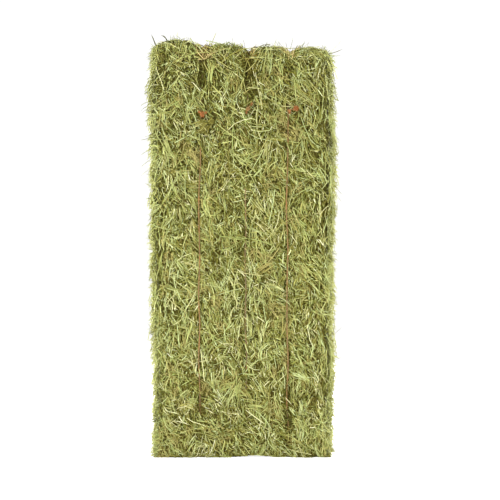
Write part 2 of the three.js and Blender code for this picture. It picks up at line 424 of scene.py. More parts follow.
ROUTES = (
    TwineRoute(
        "twine_left",
        foot=-0.119,
        middle=-0.127,
        crown=-0.113,
        knot_height=1.009,
        knot_bare=1.0,
        bare=(0.215, 0.925),
        buried=0.06,
        tails=(
            TwineTail((0.008, -0.004, 0.003), 0.4, 60, 0.008),
            TwineTail((-0.006, -0.004, 0.004), 0.4, 40, 0.007),
            TwineTail((0.002, -0.005, 0.003), 0.5, 40, 0.007),
            TwineTail((0.002, -0.005, -0.003), 0.9, 90, 0.007),
        ),
        slits=((0.12, 0.22), (1.09, 1.165)),
        crown_dip=-0.004,
        bleached=1.0,
        dull=0.08,
    ),
    TwineRoute(
        "twine_middle",
        foot=0.013,
        middle=0.011,
        crown=0.019,
        knot_height=1.024,
        knot_bare=0.8,
        bare=(0.195, 0.775),
        buried=0.5,
        tails=(
            TwineTail((0.007, -0.003, 0.010), 0.2, 26, 0.010),
            TwineTail((-0.003, -0.003, -0.006), 0.3, 16, 0.008),
        ),
        slits=((1.045, 1.17),),
        crown_dip=0.012,
        bleached=0.8,
        dull=0.27,
    ),
    TwineRoute(
        "twine_right",
        foot=0.136,
        middle=0.132,
        crown=0.141,
        knot_height=1.019,
        knot_size=0.62,
        knot_bare=1.0,
        bare=(0.2, 1.02),
        buried=0.08,
        tails=(
            TwineTail((0.0185, -0.005, 0.007), 3.0, 190, 0.0098, bulge=0.007),
            TwineTail((0.001, -0.003, -0.004), 0.8, 30, 0.006),
        ),
        slits=((0.09, 0.2),),
        crown_dip=0.011,
        bleached=0.8,
        dull=0.06,
    ),
)


class BaleFace(Enum):
    """The six faces of the bale."""

    FRONT = "front"
    BACK = "back"
    LEFT = "left"
    RIGHT = "right"
    CROWN = "crown"
    FOOT = "foot"


class Cover(Enum):
    """How thickly hay lies on each face: loose all round, or as a brush of cut or frayed ends."""

    ALL_ROUND = {
        BaleFace.FRONT: 1.2,
        BaleFace.BACK: 1.0,
        BaleFace.LEFT: 0.75,
        BaleFace.RIGHT: 0.75,
        BaleFace.CROWN: 1.0,
        BaleFace.FOOT: 0.3,
    }
    CUT_SIDES = {BaleFace.LEFT: 1.0, BaleFace.RIGHT: 1.0}
    LOOSE_EDGES = {BaleFace.LEFT: 1.0, BaleFace.RIGHT: 0.7, BaleFace.CROWN: 1.0}


@dataclass
class BaleForm:
    """The pressed form that the hay lies on: a block with rounded edges, scalloped at its flakes."""

    flakes: list[str]
    # Room that the solids' locks and the cut ends take up at the walls, more round the crown
    lock_rise: float = 0.0075
    brush_room: float = 0.001
    crown_draw: tuple[float, float] = (0.006, 0.009)
    # Radii of the edges, and how the long ones grow square towards the foot
    long_edge: float = 0.034
    crown_edge: float = 0.030
    foot_edge: float = 0.004
    foot_square: float = 0.6
    square_rise: float = 0.05
    # The foot: an arch and small waves over the floor, where hay that is too low folds up
    floor_clear: float = 0.0006
    foot_arch: float = 0.0055
    arch_middle: float = 0.05
    arch_half: float = 0.045
    foot_wave: float = 0.002
    foot_waves: Drift = Drift(0.09, 22)
    foot_pile: float = 0.006
    foot_fold: float = 0.12
    foot_deep: float = 0.02
    # The crown: how far it stands over its solid, and its swellings between the twines
    crown_rise: float = 0.0077
    pillows: tuple[float, ...] = (0.013, 0.006, 0.004, 0.004)
    # How far the walls are drawn in at the partings
    side_scallop: float = 0.009
    face_scallop: float = 0.003
    scallop_power: int = 8
    # The twines' grooves by the way from the middle to an end, and their dips at the two ends
    groove_along: tuple[float, ...] = (0.0, 0.5, 0.62, 0.77, 0.90, 0.98)
    groove_depth: tuple[float, ...] = (0.003, 0.003, 0.004, 0.008, 0.014, 0.0)
    groove_width: float = 0.005
    groove_spread: float = 0.4
    foot_dip: float = 0.006
    crown_groove: float = 0.022
    crown_open: tuple[float, float] = (0.03, 0.08)
    half_depth: float = 0.193
    # How uneven and how loose the hay lies, and the room that it stays in
    lump: float = 0.0010
    tuft: float = 0.0011
    lumps: Drift = Drift(0.075, 1)
    tufts: Drift = Drift(0.028, 2)
    loosest: float = 0.026
    strew: float = 1.2
    room: tuple[tuple[float, float, float], ...] = (
        (-0.303, -0.2205, 0.0),
        (0.302, 0.2215, 1.2575),
    )
    # Read from the frame
    partings: np.ndarray = field(init=False)
    middles: np.ndarray = field(init=False)
    walls: np.ndarray = field(init=False)
    top: float = field(init=False)

    def __post_init__(self) -> None:
        """Reads the faces of each flake from the frame, without the locks that stand proud."""
        boxes = np.array([[list(corner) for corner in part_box(flake)] for flake in self.flakes])
        low, high = boxes[:, 0], boxes[:, 1]
        room = self.lock_rise + self.brush_room
        self.walls = np.column_stack([
            low[:, 0] + room,
            high[:, 0] - room,
            low[:, 1] + self.lock_rise,
            high[:, 1] - self.lock_rise,
        ])
        self.walls[-1, :2] += self.crown_draw[0], -self.crown_draw[1]
        self.partings = np.concatenate([[0], (high[:-1, 2] + low[1:, 2]) / 2, [high[-1, 2]]])
        self.middles = (self.partings[:-1] + self.partings[1:]) / 2
        self.top = high[-1, 2] + self.crown_rise

    def sides(self, height: np.ndarray) -> list[np.ndarray]:
        """Gives the four walls at a height.

        The walls run straight from flake to flake, drawn in towards the partings.

        Args:
            height: Heights above the floor.

        Returns:
            The places of the left, right, front and back walls.
        """
        inset = self.parting(height)
        left, right, front, back = (
            np.interp(height, self.middles, self.walls[:, wall]) for wall in range(4)
        )
        aside, facing = self.side_scallop * inset, self.face_scallop * inset
        return [left + aside, right - aside, front + facing, back - facing]

    def flake_at(self, height: np.ndarray) -> np.ndarray:
        """Gives the number of the flake at a height, the first or the last past the ends."""
        return np.clip(np.searchsorted(self.partings, height) - 1, 0, len(self.middles) - 1)

    def parting(self, height: np.ndarray) -> np.ndarray:
        """Gives how near a height is to a parting between two flakes.

        It is a high power of the way from the flake's middle, so it only rises close to the parting.

        Args:
            height: Heights above the floor.

        Returns:
            Shares from 0 in the middle to 1 at a parting; the bale's two ends are none.
        """
        flake = self.flake_at(height)
        low, high = self.partings[flake], self.partings[flake + 1]
        way = np.clip(2 * (height - low) / (high - low) - 1, -1, 1)
        outer = ((flake == 0) & (way < 0)) | ((flake == len(self.middles) - 1) & (way > 0))
        return np.where(outer, 0, way**self.scallop_power)

    def crown_level(self, across: np.ndarray) -> np.ndarray:
        """Gives the height of the crown.

        It falls evenly from left to right, and between the twines it swells by the square of the
        sine of the way from one to the next.

        Args:
            across: Places along X.

        Returns:
            Heights above the floor.
        """
        left, right = self.walls[-1, :2]
        marks = np.array([left, *(route.crown for route in ROUTES), right])
        gap = np.clip(np.searchsorted(marks, across) - 1, 0, len(self.pillows) - 1)
        way = np.clip((across - marks[gap]) / (marks[gap + 1] - marks[gap]), 0, 1)
        swell = np.array(self.pillows)[gap] * np.sin(math.pi * way) ** 2
        return self.top - CROWN_FALL * (across - left) / (right - left) + swell

    def grooves(self, points: np.ndarray, ways: np.ndarray) -> np.ndarray:
        """Gives how far the twines press the hay in.

        Each groove is a bell curve across its twine, deeper and wider towards the two ends. On the
        crown its dip grows from the edges inwards, and a dip of less than nought is a swelling.

        Args:
            points: Places on the form.
            ways: Directions out of the form there.

        Returns:
            Depths, from nought on the sides that no twine crosses.
        """
        height = points[..., 2]
        half = self.top / 2
        along = np.abs(height - half) / half
        inner = smooth_step(self.half_depth - np.abs(points[..., 1]), *self.crown_open)
        run = np.interp(along, self.groove_along, self.groove_depth)
        at_end = smooth_step(along, *self.groove_along[-2:])
        pressed = []
        for route in ROUTES:
            dip = route.crown_dip + (self.crown_groove - route.crown_dip) * inner
            depth = run + np.where(height > half, dip, self.foot_dip) * at_end
            width = self.groove_width + self.groove_spread * np.abs(depth)
            aside = points[..., 0] - route.across(height)
            pressed.append(depth * np.exp(-((aside / width) ** 2)))
        return np.max(pressed, axis=0) * (1 - ways[..., 0] ** 2)

    def unevenness(self, points: np.ndarray) -> np.ndarray:
        """Gives how far the loose hay swells or sinks at places on the form."""
        return self.lump * self.lumps.at(points) + self.tuft * self.tufts.at(points)

    def settle(self, points: np.ndarray, lift: np.ndarray) -> tuple[np.ndarray, np.ndarray]:
        """Moves points along the form's outward direction until they lie at a lift over it.

        Across the long edges the direction leaves a rounded rectangle, and over the ends' edges it
        turns on a quarter circle from the wall to the end.

        Args:
            points: Places near the form.
            lift: Wanted heights over the pressed form, before its grooves.

        Returns:
            The moved places, and the outward directions there.
        """
        x, y, z = points[..., 0], points[..., 1], points[..., 2]
        left, right, front, back = self.sides(z)
        edge = self.long_edge * (1 - self.foot_square * np.exp(-np.maximum(z, 0) / self.square_rise))
        inside = [np.clip(x, left + edge, right - edge), np.clip(y, front + edge, back - edge)]
        aside = points[..., :2] - np.stack(inside, -1)
        reach = np.linalg.norm(aside, axis=-1)
        wall_gap = reach - edge
        upper = z > self.top / 2
        end_gap = np.where(upper, z - self.crown_level(x), -z)
        end_edge = np.where(upper, self.crown_edge, self.foot_edge)
        over_wall = np.maximum(wall_gap + end_edge, 0)
        over_end = np.maximum(end_gap + end_edge, 0)
        turned = np.hypot(over_wall, over_end)
        at_wall = over_end <= 0
        wall_share = np.where(at_wall, 1, over_wall / np.maximum(turned, NEAR_ZERO))
        end_share = np.where(at_wall, 0, over_end / np.maximum(turned, NEAR_ZERO))
        rise = end_share * np.where(upper, 1, -1)
        ways = np.concatenate([unit(aside) * wall_share[..., None], rise[..., None]], -1)
        gap = np.where(at_wall, wall_gap, turned - end_edge)
        wanted = np.minimum(lift - self.grooves(points, ways), self.loosest)
        moved = points + ways * (wanted - gap)[..., None]
        low = self.floor(points) - moved[..., 2]
        moved[..., 2] += np.where(low > 0, low + self.foot_fold * np.minimum(low, self.foot_deep), 0)
        return moved, ways

    def floor(self, points: np.ndarray) -> np.ndarray:
        """Gives the height of the lowest hay.

        It is clear of the ground by a hair, lifted by one wide bell curve and by small waves.

        Args:
            points: Places by the foot.

        Returns:
            Heights above the ground.
        """
        arch = np.exp(-(((points[..., 0] - self.arch_middle) / self.arch_half) ** 2))
        waves = np.clip(self.foot_waves.at(points * [1, 1, 0]), 0, 1)
        return self.floor_clear + self.foot_arch * arch + self.foot_wave * waves

    def scatter(
        self, flake: int, face: BaleFace, per_area: float, rng: np.random.Generator
    ) -> np.ndarray:
        """Strews places over one face of one flake.

        Args:
            flake: Number of the flake, from nought at the foot.
            face: The face to strew on.
            per_area: Places on a square metre.
            rng: Source of the random places.

        Returns:
            Places on the flat face, before they are settled.
        """
        left, right, front, back = self.walls[flake]
        low, high = self.partings[flake], self.partings[flake + 1]
        low = low - self.foot_pile * (flake == 0)
        spans = {
            BaleFace.FRONT: ((left, right), (front, front), (low, high)),
            BaleFace.BACK: ((left, right), (back, back), (low, high)),
            BaleFace.LEFT: ((left, left), (front, back), (low, high)),
            BaleFace.RIGHT: ((right, right), (front, back), (low, high)),
            BaleFace.CROWN: ((left, right), (front, back), (high, high)),
            BaleFace.FOOT: ((left, right), (front, back), (low, low)),
        }[face]
        sizes = sorted(abs(b - a) for a, b in spans)
        count = round(sizes[1] * sizes[2] * per_area)
        steps = np.outer(np.arange(count), EVEN_STRIDES)
        shift = rng.uniform(0, 1, 2)
        strewn = rng.normal(0, self.strew / math.sqrt(max(count, 1)), (count, 2))
        columns = iter(((steps + shift + strewn) % 1).T)
        return np.column_stack([
            a + (b - a) * next(columns) if b > a else np.full(count, a) for a, b in spans
        ])


@dataclass(frozen=True)
class StemSort:
    """How one sort of hay is cut, bent, laid and toned."""

    per_area: float
    length: tuple[float, float]
    width: tuple[float, float]
    ridge: float
    stations: tuple[float, ...]
    bow: float
    kink: float
    depth: tuple[float, float]
    hue: tuple[float, float]
    light: tuple[float, float]
    combed: float = 0.5
    tilt: float = 0.004
    bundle: int = 1
    stand: tuple[float, float] = (0.0, 0.0)
    cover: Cover = Cover.ALL_ROUND


class StemKind(Enum):
    """The sorts of hay, from the fine stuff at the bottom to the stems and hairs on top."""

    CHAFF = StemSort(
        per_area=24000, length=(0.008, 0.024), width=(0.0024, 0.0046), ridge=0.3,
        stations=(-1, -0.1, 1), bow=0.1, kink=0.0, depth=(-0.011, 0.0),
        hue=(0.13, 0.78), light=(0.06, 0.98),
    )
    BLADE = StemSort(
        per_area=7500, length=(0.016, 0.046), width=(0.0018, 0.0034), ridge=0.3,
        stations=(-1, -0.6, 0.6, 1), bow=0.15, kink=0.18, depth=(-0.009, 0.001),
        hue=(0.28, 0.80), light=(0.12, 1.0), combed=0.6, tilt=0.005, bundle=2,
    )
    TUFT = StemSort(
        per_area=3600, length=(0.026, 0.070), width=(0.0016, 0.0030), ridge=0.4,
        stations=(-1, -0.55, 0.4, 1), bow=0.14, kink=0.2, depth=(-0.007, 0.001),
        hue=(0.36, 0.82), light=(0.26, 1.0), combed=0.65, bundle=3,
    )
    STEM = StemSort(
        per_area=650, length=(0.045, 0.130), width=(0.0019, 0.0030), ridge=0.7,
        stations=(-1, -0.97, -0.3, 0.4, 0.97, 1), bow=0.06, kink=0.3, depth=(-0.005, 0.002),
        hue=(0.50, 0.80), light=(0.48, 0.84), combed=0.6,
    )
    LOCK = StemSort(
        per_area=650, length=(0.045, 0.100), width=(0.0018, 0.0031), ridge=0.4,
        stations=(-1, -0.6, 0.0, 0.6, 1), bow=0.16, kink=0.2, depth=(-0.002, 0.003),
        hue=(0.54, 0.80), light=(0.40, 0.80), bundle=7,
    )
    LEAF = StemSort(
        per_area=160, length=(0.026, 0.060), width=(0.0036, 0.0060), ridge=0.12,
        stations=(-1, -0.55, 0.4, 1), bow=0.15, kink=0.2, depth=(-0.006, 0.001),
        hue=(0.40, 0.74), light=(0.40, 0.80),
    )
    # Near-white short stems that stand for glints on the hay: painted highlight
    PAINTED_GLINT = StemSort(
        per_area=30, length=(0.010, 0.026), width=(0.0014, 0.0024), ridge=0.3,
        stations=(-1, -0.8, 0.8, 1), bow=0.1, kink=0.1, depth=(-0.002, 0.003),
        hue=(0.95, 1.0), light=(0.80, 0.94), combed=0.4,
    )
    HAIR = StemSort(
        per_area=2200, length=(0.016, 0.042), width=(0.0009, 0.0016), ridge=0.6,
        stations=(-1, 0.0, 1), bow=0.12, kink=0.1, depth=(0.0, 0.005),
        hue=(0.46, 0.82), light=(0.46, 0.96), tilt=0.008,
    )
    STUBBLE = StemSort(
        per_area=12000, length=(0.009, 0.025), width=(0.0013, 0.0022), ridge=0.6,
        stations=(-1, -0.2, 1), bow=0.15, kink=0.0, depth=(-0.008, 0.0),
        hue=(0.52, 0.60), light=(0.63, 0.95), combed=0.75, tilt=0.0,
        stand=(0.35, 1.05), cover=Cover.CUT_SIDES,
    )
    WISP = StemSort(
        per_area=1100, length=(0.014, 0.032), width=(0.0009, 0.0016), ridge=0.6,
        stations=(-1, -0.3, 0.4, 1), bow=0.3, kink=0.2, depth=(-0.004, 0.0),
        hue=(0.36, 0.60), light=(0.30, 0.85), combed=0.7, tilt=0.0, bundle=3,
        stand=(0.5, 1.2), cover=Cover.LOOSE_EDGES,
    )


@dataclass
class StemPaths:
    """Middle lines of many stems of one sort, and what is needed to give them a section."""

    lines: np.ndarray
    ways: np.ndarray
    widths: np.ndarray
    ridge: float
    rolls: np.ndarray
    hues: np.ndarray
    lights: np.ndarray
    hue_across: float = 0.006
    light_along: float = 0.05
    ridge_painted_highlight: float = 0.03

    def skin(self) -> Solid:
        """Carries a flat three-cornered section along each line and closes both tips to a point.

        At each inner point two corners lie half a width to either side and the third a ridge's
        height outward, all moved in by a third of that height so that the line is their middle. The
        hue changes a little across the section, and the lightness along the line and on the ridge.

        Returns:
            The closed skins of all the stems.
        """
        count, points = self.lines.shape[:2]
        rings = points - 2
        along = unit(np.gradient(self.lines, axis=1))
        side = unit(np.cross(self.ways, along))
        out = np.cross(along, side)
        cos, sin = np.cos(self.rolls)[:, None, None], np.sin(self.rolls)[:, None, None]
        side, out = side * cos + out * sin, out * cos - side * sin
        half = (self.widths / 2)[:, None, None]
        rise = half * 2 * self.ridge
        inner = slice(1, -1)
        middle = self.lines[:, inner]
        corners = np.stack([
            middle - side[:, inner] * half - out[:, inner] * rise / 3,
            middle + side[:, inner] * half - out[:, inner] * rise / 3,
            middle + out[:, inner] * rise * 2 / 3,
        ], axis=2).reshape(count, rings * 3, 3)
        places = np.concatenate([self.lines[:, :1], corners, self.lines[:, -1:]], axis=1)
        across = np.tile([-self.hue_across, self.hue_across, 0.0], rings)
        share = np.linspace(-1, 1, points)
        light_step = np.concatenate([share[:1], np.repeat(share[inner], 3), share[-1:]])
        light_step = self.light_along * light_step
        # Painted highlight: the ridge corner of each section is a little lighter
        light_step[inner] += np.tile([0.0, 0.0, self.ridge_painted_highlight], rings)
        palette = np.stack([
            np.clip(self.hues[:, None] + np.pad(across, 1), *PALETTE_ENDS),
            np.clip(self.lights[:, None] + light_step, *PALETTE_ENDS),
        ], -1)
        starts = np.arange(count)[:, None, None] * (3 * rings + 2)
        faces = (stem_faces(rings)[None] + starts).reshape(-1, 3)
        return Solid(places.reshape(-1, 3), faces, palette.reshape(-1, 2))


def stem_faces(rings: int) -> np.ndarray:
    """Lists the triangles of one stem: a fan at each tip and six between neighbouring rings.

    Args:
        rings: Number of three-cornered rings between the tips.

    Returns:
        Triangles of corner numbers, the tail's tip first and the head's tip last.
    """
    corner = np.arange(3)
    after = (corner + 1) % 3
    start = 1 + 3 * np.arange(rings - 1)[:, None]
    a, b = start + corner, start + after
    tail = np.column_stack([np.zeros(3, int), 1 + after, 1 + corner])
    last = 1 + 3 * (rings - 1)
    head = np.column_stack([np.full(3, last + 3), last + corner, last + after])
    return np.concatenate([tail, split_quads(a, b, b + 3, a + 3), head]).astype(int)


@dataclass
class Batch:
    """The stems of one sort on one face of one flake while they are laid."""

    sort: StemSort
    roots: np.ndarray
    ways: np.ndarray
    lead: np.ndarray
    rng: np.random.Generator

    def picked(self, share: float | np.ndarray) -> np.ndarray:
        """Picks stems at random, each with a chance of its share."""
        return self.rng.random(len(self.roots)) < share

    def between(self, low: float, high: float) -> np.ndarray:
        """Draws an even random value for each stem."""
        return self.rng.uniform(low, high, len(self.roots))

    def spread(self, size: float) -> np.ndarray:
        """Draws a random value about nought for each stem."""
        return self.rng.normal(0, size, len(self.roots))


@dataclass
class HayLayer:
    """Lays one sort of hay on one face of one flake."""

    form: BaleForm
    # How far an outward direction leans to a face for hay to count as lying on it
    facing: float = 0.7
    end_facing: float = 0.9
    front_facing: float = 0.5
    seam_facing: float = 0.3
    # Which way the stems lie
    clump_spread: float = 0.36
    clump_swing: float = 0.34
    clumps: Drift = Drift(0.11, 3)
    front_slant: float = 0.30
    left_slant: float = 0.75
    left_strip: tuple[float, float] = (0.205, 0.25)
    comb_places: tuple[float, ...] = (-0.26, -0.10, 0.15, 0.24)
    comb_gains: tuple[float, ...] = (0.45, 1.0, 1.05, 1.5)
    side_gain: float = 0.75
    bundle_spread: float = 0.005
    bundle_fan: float = 0.16
    pinch_height: float = 1.165
    pinch_fade: float = 0.02
    pinch_width: float = 0.04
    pinch_loose: float = 0.3
    # How they stand, bend and spring back
    bend_within: float = 0.5
    roll: float = 0.45
    side_stand: float = 0.85
    side_reach: float = 0.03
    wall_spring: float = 0.08
    crown_spring: float = 0.35
    spring_rise: tuple[float, float] = (1.12, 1.18)
    spring_most: float = 0.012
    foot_short: float = 0.25
    foot_thin: float = 0.10
    foot_curl: float = 1.0
    long_hay: tuple[float, float] = (0.018, 0.06)
    long_rise: tuple[float, float] = (0.1, 0.95)
    # Levels of hay under and over the twines, and who lies there
    under_twine: float = -0.005
    over_twine: float = 0.003
    mostly_over: float = 0.97
    over_end: float = 0.15
    knot_clear: float = 0.012
    under_knot: float = -0.005
    # Slits beside the twines, hollows of the front by place and radius, and seams up the edges; the
    # stems that sink there are darkened with painted shade
    in_slit: float = -0.009
    slit_half: float = 0.007
    slit_wander: float = 0.006
    slit_waves: Drift = Drift(0.035, 23)
    slit_share: float = 0.95
    gap_painted_shade: float = 0.36
    cross_share: float = 0.7
    hollows: tuple[tuple[float, float, float], ...] = (
        (-0.249, 0.786, 0.008), (-0.206, 0.514, 0.017), (-0.244, 0.537, 0.009),
        (0.021, 1.143, 0.010), (0.076, 1.133, 0.010), (0.246, 0.992, 0.010),
        (0.244, 0.800, 0.010), (0.236, 0.513, 0.016), (-0.150, 0.204, 0.012),
        (0.190, 0.250, 0.012), (0.220, 0.720, 0.009), (-0.110, 0.230, 0.010),
    )
    over_hollow: float = 0.0015
    seams: tuple[float, ...] = (-0.2440, 0.2465)
    seam_half: float = 0.006
    seam_wander: float = 0.003
    seam_share: float = 0.8
    seam_breaks: Drift = Drift(0.12, 21)
    seam_least: float = -0.3
    wander_shift: float = 1.0
    # Hue: drifts, the faded hay by the twines on the crown, and the two sides
    own_hue: float = 0.04
    hue_patches: Drift = Drift(0.13, 4)
    hue_specks: Drift = Drift(0.05, 5)
    patch_hue: float = 0.12
    speck_hue: float = 0.14
    bleach_width: float = 0.018
    bleach_longest: float = 0.05
    bleach_rise: tuple[float, float] = (1.16, 1.195)
    bleach_front: tuple[float, float] = (0.02, 0.12)
    bleach_hue: tuple[float, float] = (0.0, 0.06)
    bleach_long: float = 0.09
    side_hue: float = 0.56
    side_even: float = 0.82
    hue_limits: tuple[float, float] = (0.18, 0.98)
    # Lightness: even over the patches of hue, with painted shade where the hay lies deep, in grooves,
    # at partings and by the floor, and painted light on the two sides and low down
    even_light: float = 0.75
    bleach_light: float = 0.35
    depth_painted_shade: float = 18.0
    parting_painted_shade: float = 0.15
    side_light: float = 0.04
    floor_painted_shade: float = 0.25
    foot_shade: float = 0.014
    low_painted_light: float = 0.06
    crown_contrast: float = 0.28
    contrast_rise: tuple[float, float] = (0.6, 1.05)
    contrast_middle: float = 0.60
    light_limits: tuple[float, float] = (0.05, 0.98)

    def lay(self, roots: np.ndarray, sort: StemSort, rng: np.random.Generator) -> StemPaths:
        """Lays stems through their root places.

        A stem is a line through its root along the form, bowed by one less the square of the way
        along it, kinked from a random place on, and tilted so that one tip stands higher. Towards
        the foot long stems are shorter, thinner and more bowed. Stubble stands out of the form by an
        angle of its own, and combed hay on the two sides by a random share of one.

        Args:
            roots: Places that the stems go through, before they are settled.
            sort: How they are cut, bent and laid.
            rng: Source of the random cuts and bends.

        Returns:
            The stems' lines and sections.
        """
        count = len(roots)
        lead = np.arange(count) // sort.bundle * sort.bundle
        loose = rng.normal(0, self.bundle_spread, (count, 3)) * (sort.bundle > 1)
        roots, ways = self.form.settle(roots[lead] + loose, np.zeros(count))
        batch = Batch(sort, roots, ways, lead, rng)
        along, combed = self.heading(batch)
        side = np.cross(ways, along)
        way = np.array(sort.stations)[None]
        low = 1 - smooth_step(roots[:, 2:], *self.long_rise)
        half = batch.between(*sort.length)[:, None] / 2
        half = half * (1 - self.foot_short * low * smooth_step(2 * half, *self.long_hay))
        bow = batch.spread(sort.bow)[lead, None] * (1 + self.foot_curl * low)
        kink = batch.spread(sort.kink)[lead, None]
        bend_at = batch.between(-self.bend_within, self.bend_within)[:, None]
        sideways = half * (bow * (1 - way**2) + kink * np.maximum(way - bend_at, 0))
        flare = np.minimum(1, self.side_reach / (2 * half[:, 0]))
        flare = self.side_stand * ways[:, 0] ** 2 * flare
        stand = batch.between(*sort.stand) + flare * batch.between(0, 1) * combed
        stand = stand[:, None]
        ahead = half * way * np.cos(stand)
        flat = roots[:, None] + along[:, None] * ahead[..., None] + side[:, None] * sideways[..., None]
        depth = batch.between(*sort.depth)
        tilt = batch.spread(sort.tilt)[:, None]
        lift = (depth + self.form.unevenness(roots))[:, None] + tilt * way
        lift = lift + half * (way + 1) * np.sin(stand)
        lines, line_ways, painted_gap_shade = self.bed(batch, flat, lift)
        hues, lights = self.tones(batch, depth)
        thinned = 1 - self.foot_thin * low[:, 0] * (sort.stand[1] <= 0)
        return StemPaths(
            lines=lines,
            ways=line_ways,
            widths=batch.between(*sort.width) * thinned,
            ridge=sort.ridge,
            rolls=batch.spread(self.roll),
            hues=hues,
            lights=lights - painted_gap_shade,
        )

    def heading(self, batch: Batch) -> tuple[np.ndarray, np.ndarray]:
        """Chooses which way each stem runs along the form.

        A share of the stems, larger towards the right edge, is combed and keeps to the lean of its
        place; the others turn to any side. A bundle follows its first stem and fans out from it.

        Args:
            batch: The stems.

        Returns:
            The stems' directions, and which of them are combed.
        """
        ways = batch.ways
        on_wall = np.abs(ways[:, 2:]) < self.facing
        level = unit(np.cross(ways, np.where(on_wall, [0.0, 0.0, 1.0], [0.0, 1.0, 0.0])))
        upright = np.cross(level, ways)
        turn = batch.between(0, math.tau)
        gain = np.interp(batch.roots[:, 0], self.comb_places, self.comb_gains)
        gain = gain + (self.side_gain - gain) * ways[:, 0] ** 2
        combed = batch.picked(batch.sort.combed * gain)
        lean = self.lean(batch) + batch.spread(self.clump_spread)
        fan = batch.spread(self.bundle_fan) * (batch.sort.bundle > 1)
        turn = np.where(combed, lean, turn)[batch.lead] + fan
        turn = self.gather(batch, level, upright, turn)[:, None]
        return level * np.cos(turn) + upright * np.sin(turn), combed

    def lean(self, batch: Batch) -> np.ndarray:
        """Gives the turn that combed stems keep to.

        On the walls they hang, with a slant across the front and back that changes over towards the
        left edge, and drift a little from place to place. On the two ends they drift to any side.

        Args:
            batch: The stems.

        Returns:
            Turns from the level direction.
        """
        drift = self.clumps.at(batch.roots)
        on_left = smooth_step(-batch.roots[:, 0], *self.left_strip)
        slant = self.front_slant - self.left_slant * on_left
        hanging = self.clump_swing * drift - math.pi / 2 - slant * np.abs(batch.ways[:, 1])
        return np.where(np.abs(batch.ways[:, 2]) < self.facing, hanging, math.pi * drift)

    def gather(
        self, batch: Batch, level: np.ndarray, upright: np.ndarray, turn: np.ndarray
    ) -> np.ndarray:
        """Turns the stems by the crown's dips so that they fan out of the place that is pulled in.

        Args:
            batch: The stems.
            level: Directions along the form that a turn is counted from.
            upright: Directions along the form at a quarter turn.
            turn: The stems' turns without the pull.

        Returns:
            The stems' turns.
        """
        rise = (self.pinch_height - self.pinch_fade, self.pinch_height + self.pinch_fade)
        near = smooth_step(batch.roots[:, 2], *rise)
        for route in ROUTES:
            away = batch.roots - np.array([route.crown, 0, self.pinch_height])
            away[:, 1] = 0
            pull = np.exp(-((away[:, 0] / self.pinch_width) ** 2)) * near
            fanned = np.arctan2((away * upright).sum(1), (away * level).sum(1))
            fanned = fanned + batch.spread(self.pinch_loose)
            turn = np.where(batch.picked(pull), fanned, turn)
        return turn

    def bed(
        self, batch: Batch, flat: np.ndarray, lift: np.ndarray
    ) -> tuple[np.ndarray, np.ndarray, np.ndarray]:
        """Brings straight stems down on the form.

        A stem that nothing presses springs back from the form by a share of the way to its straight
        line, more on the crown than on the walls.

        Args:
            batch: The stems.
            flat: Points along them, straight from their roots.
            lift: Heights over the pressed form that the points are wanted at.

        Returns:
            The stems' lines, the outward directions along them, and each stem's painted shade in a
            gap.
        """
        lines, _ = self.form.settle(flat, lift)
        sink, painted_gap_shade = self.press(batch, lines, lift)
        lines, line_ways = self.form.settle(flat, lift - sink[:, None])
        spring = flat + batch.ways[:, None] * lift[..., None] - lines
        rise = smooth_step(batch.roots[:, 2], *self.spring_rise)
        free = self.wall_spring + (self.crown_spring - self.wall_spring) * rise
        spring = spring * (free * (sink <= 0))[:, None, None]
        much = np.linalg.norm(spring, axis=-1, keepdims=True)
        lines = lines + spring * np.minimum(1, self.spring_most / np.maximum(much, NEAR_ZERO))
        lines[..., 2] = np.maximum(lines[..., 2], self.form.floor(lines))
        return np.clip(lines, *self.form.room), line_ways, painted_gap_shade

    def press(
        self, batch: Batch, lines: np.ndarray, lift: np.ndarray
    ) -> tuple[np.ndarray, np.ndarray]:
        """Finds how far each stem sinks under the twines and in the gaps of the hay.

        Args:
            batch: The stems.
            lines: Their middle lines.
            lift: Heights of these over the pressed form.

        Returns:
            One distance inwards for each stem, and its painted shade in a gap.
        """
        sink, painted_gap_shade = np.zeros(len(lines)), np.zeros(len(lines))
        for route in ROUTES:
            sink, parted = self.tie(route, batch, lines, lift, sink)
            # Painted shade: stems in a slit, a hollow or a seam are darker
            painted_gap_shade = np.where(parted, self.gap_painted_shade, painted_gap_shade)
        top = lift.max(1)
        for parted in [*self.by_hollows(batch, lines, top), *self.by_seams(batch, lines)]:
            sink = np.where(parted, np.maximum(sink, top - self.in_slit), sink)
            painted_gap_shade = np.where(parted, self.gap_painted_shade, painted_gap_shade)
        return sink, painted_gap_shade

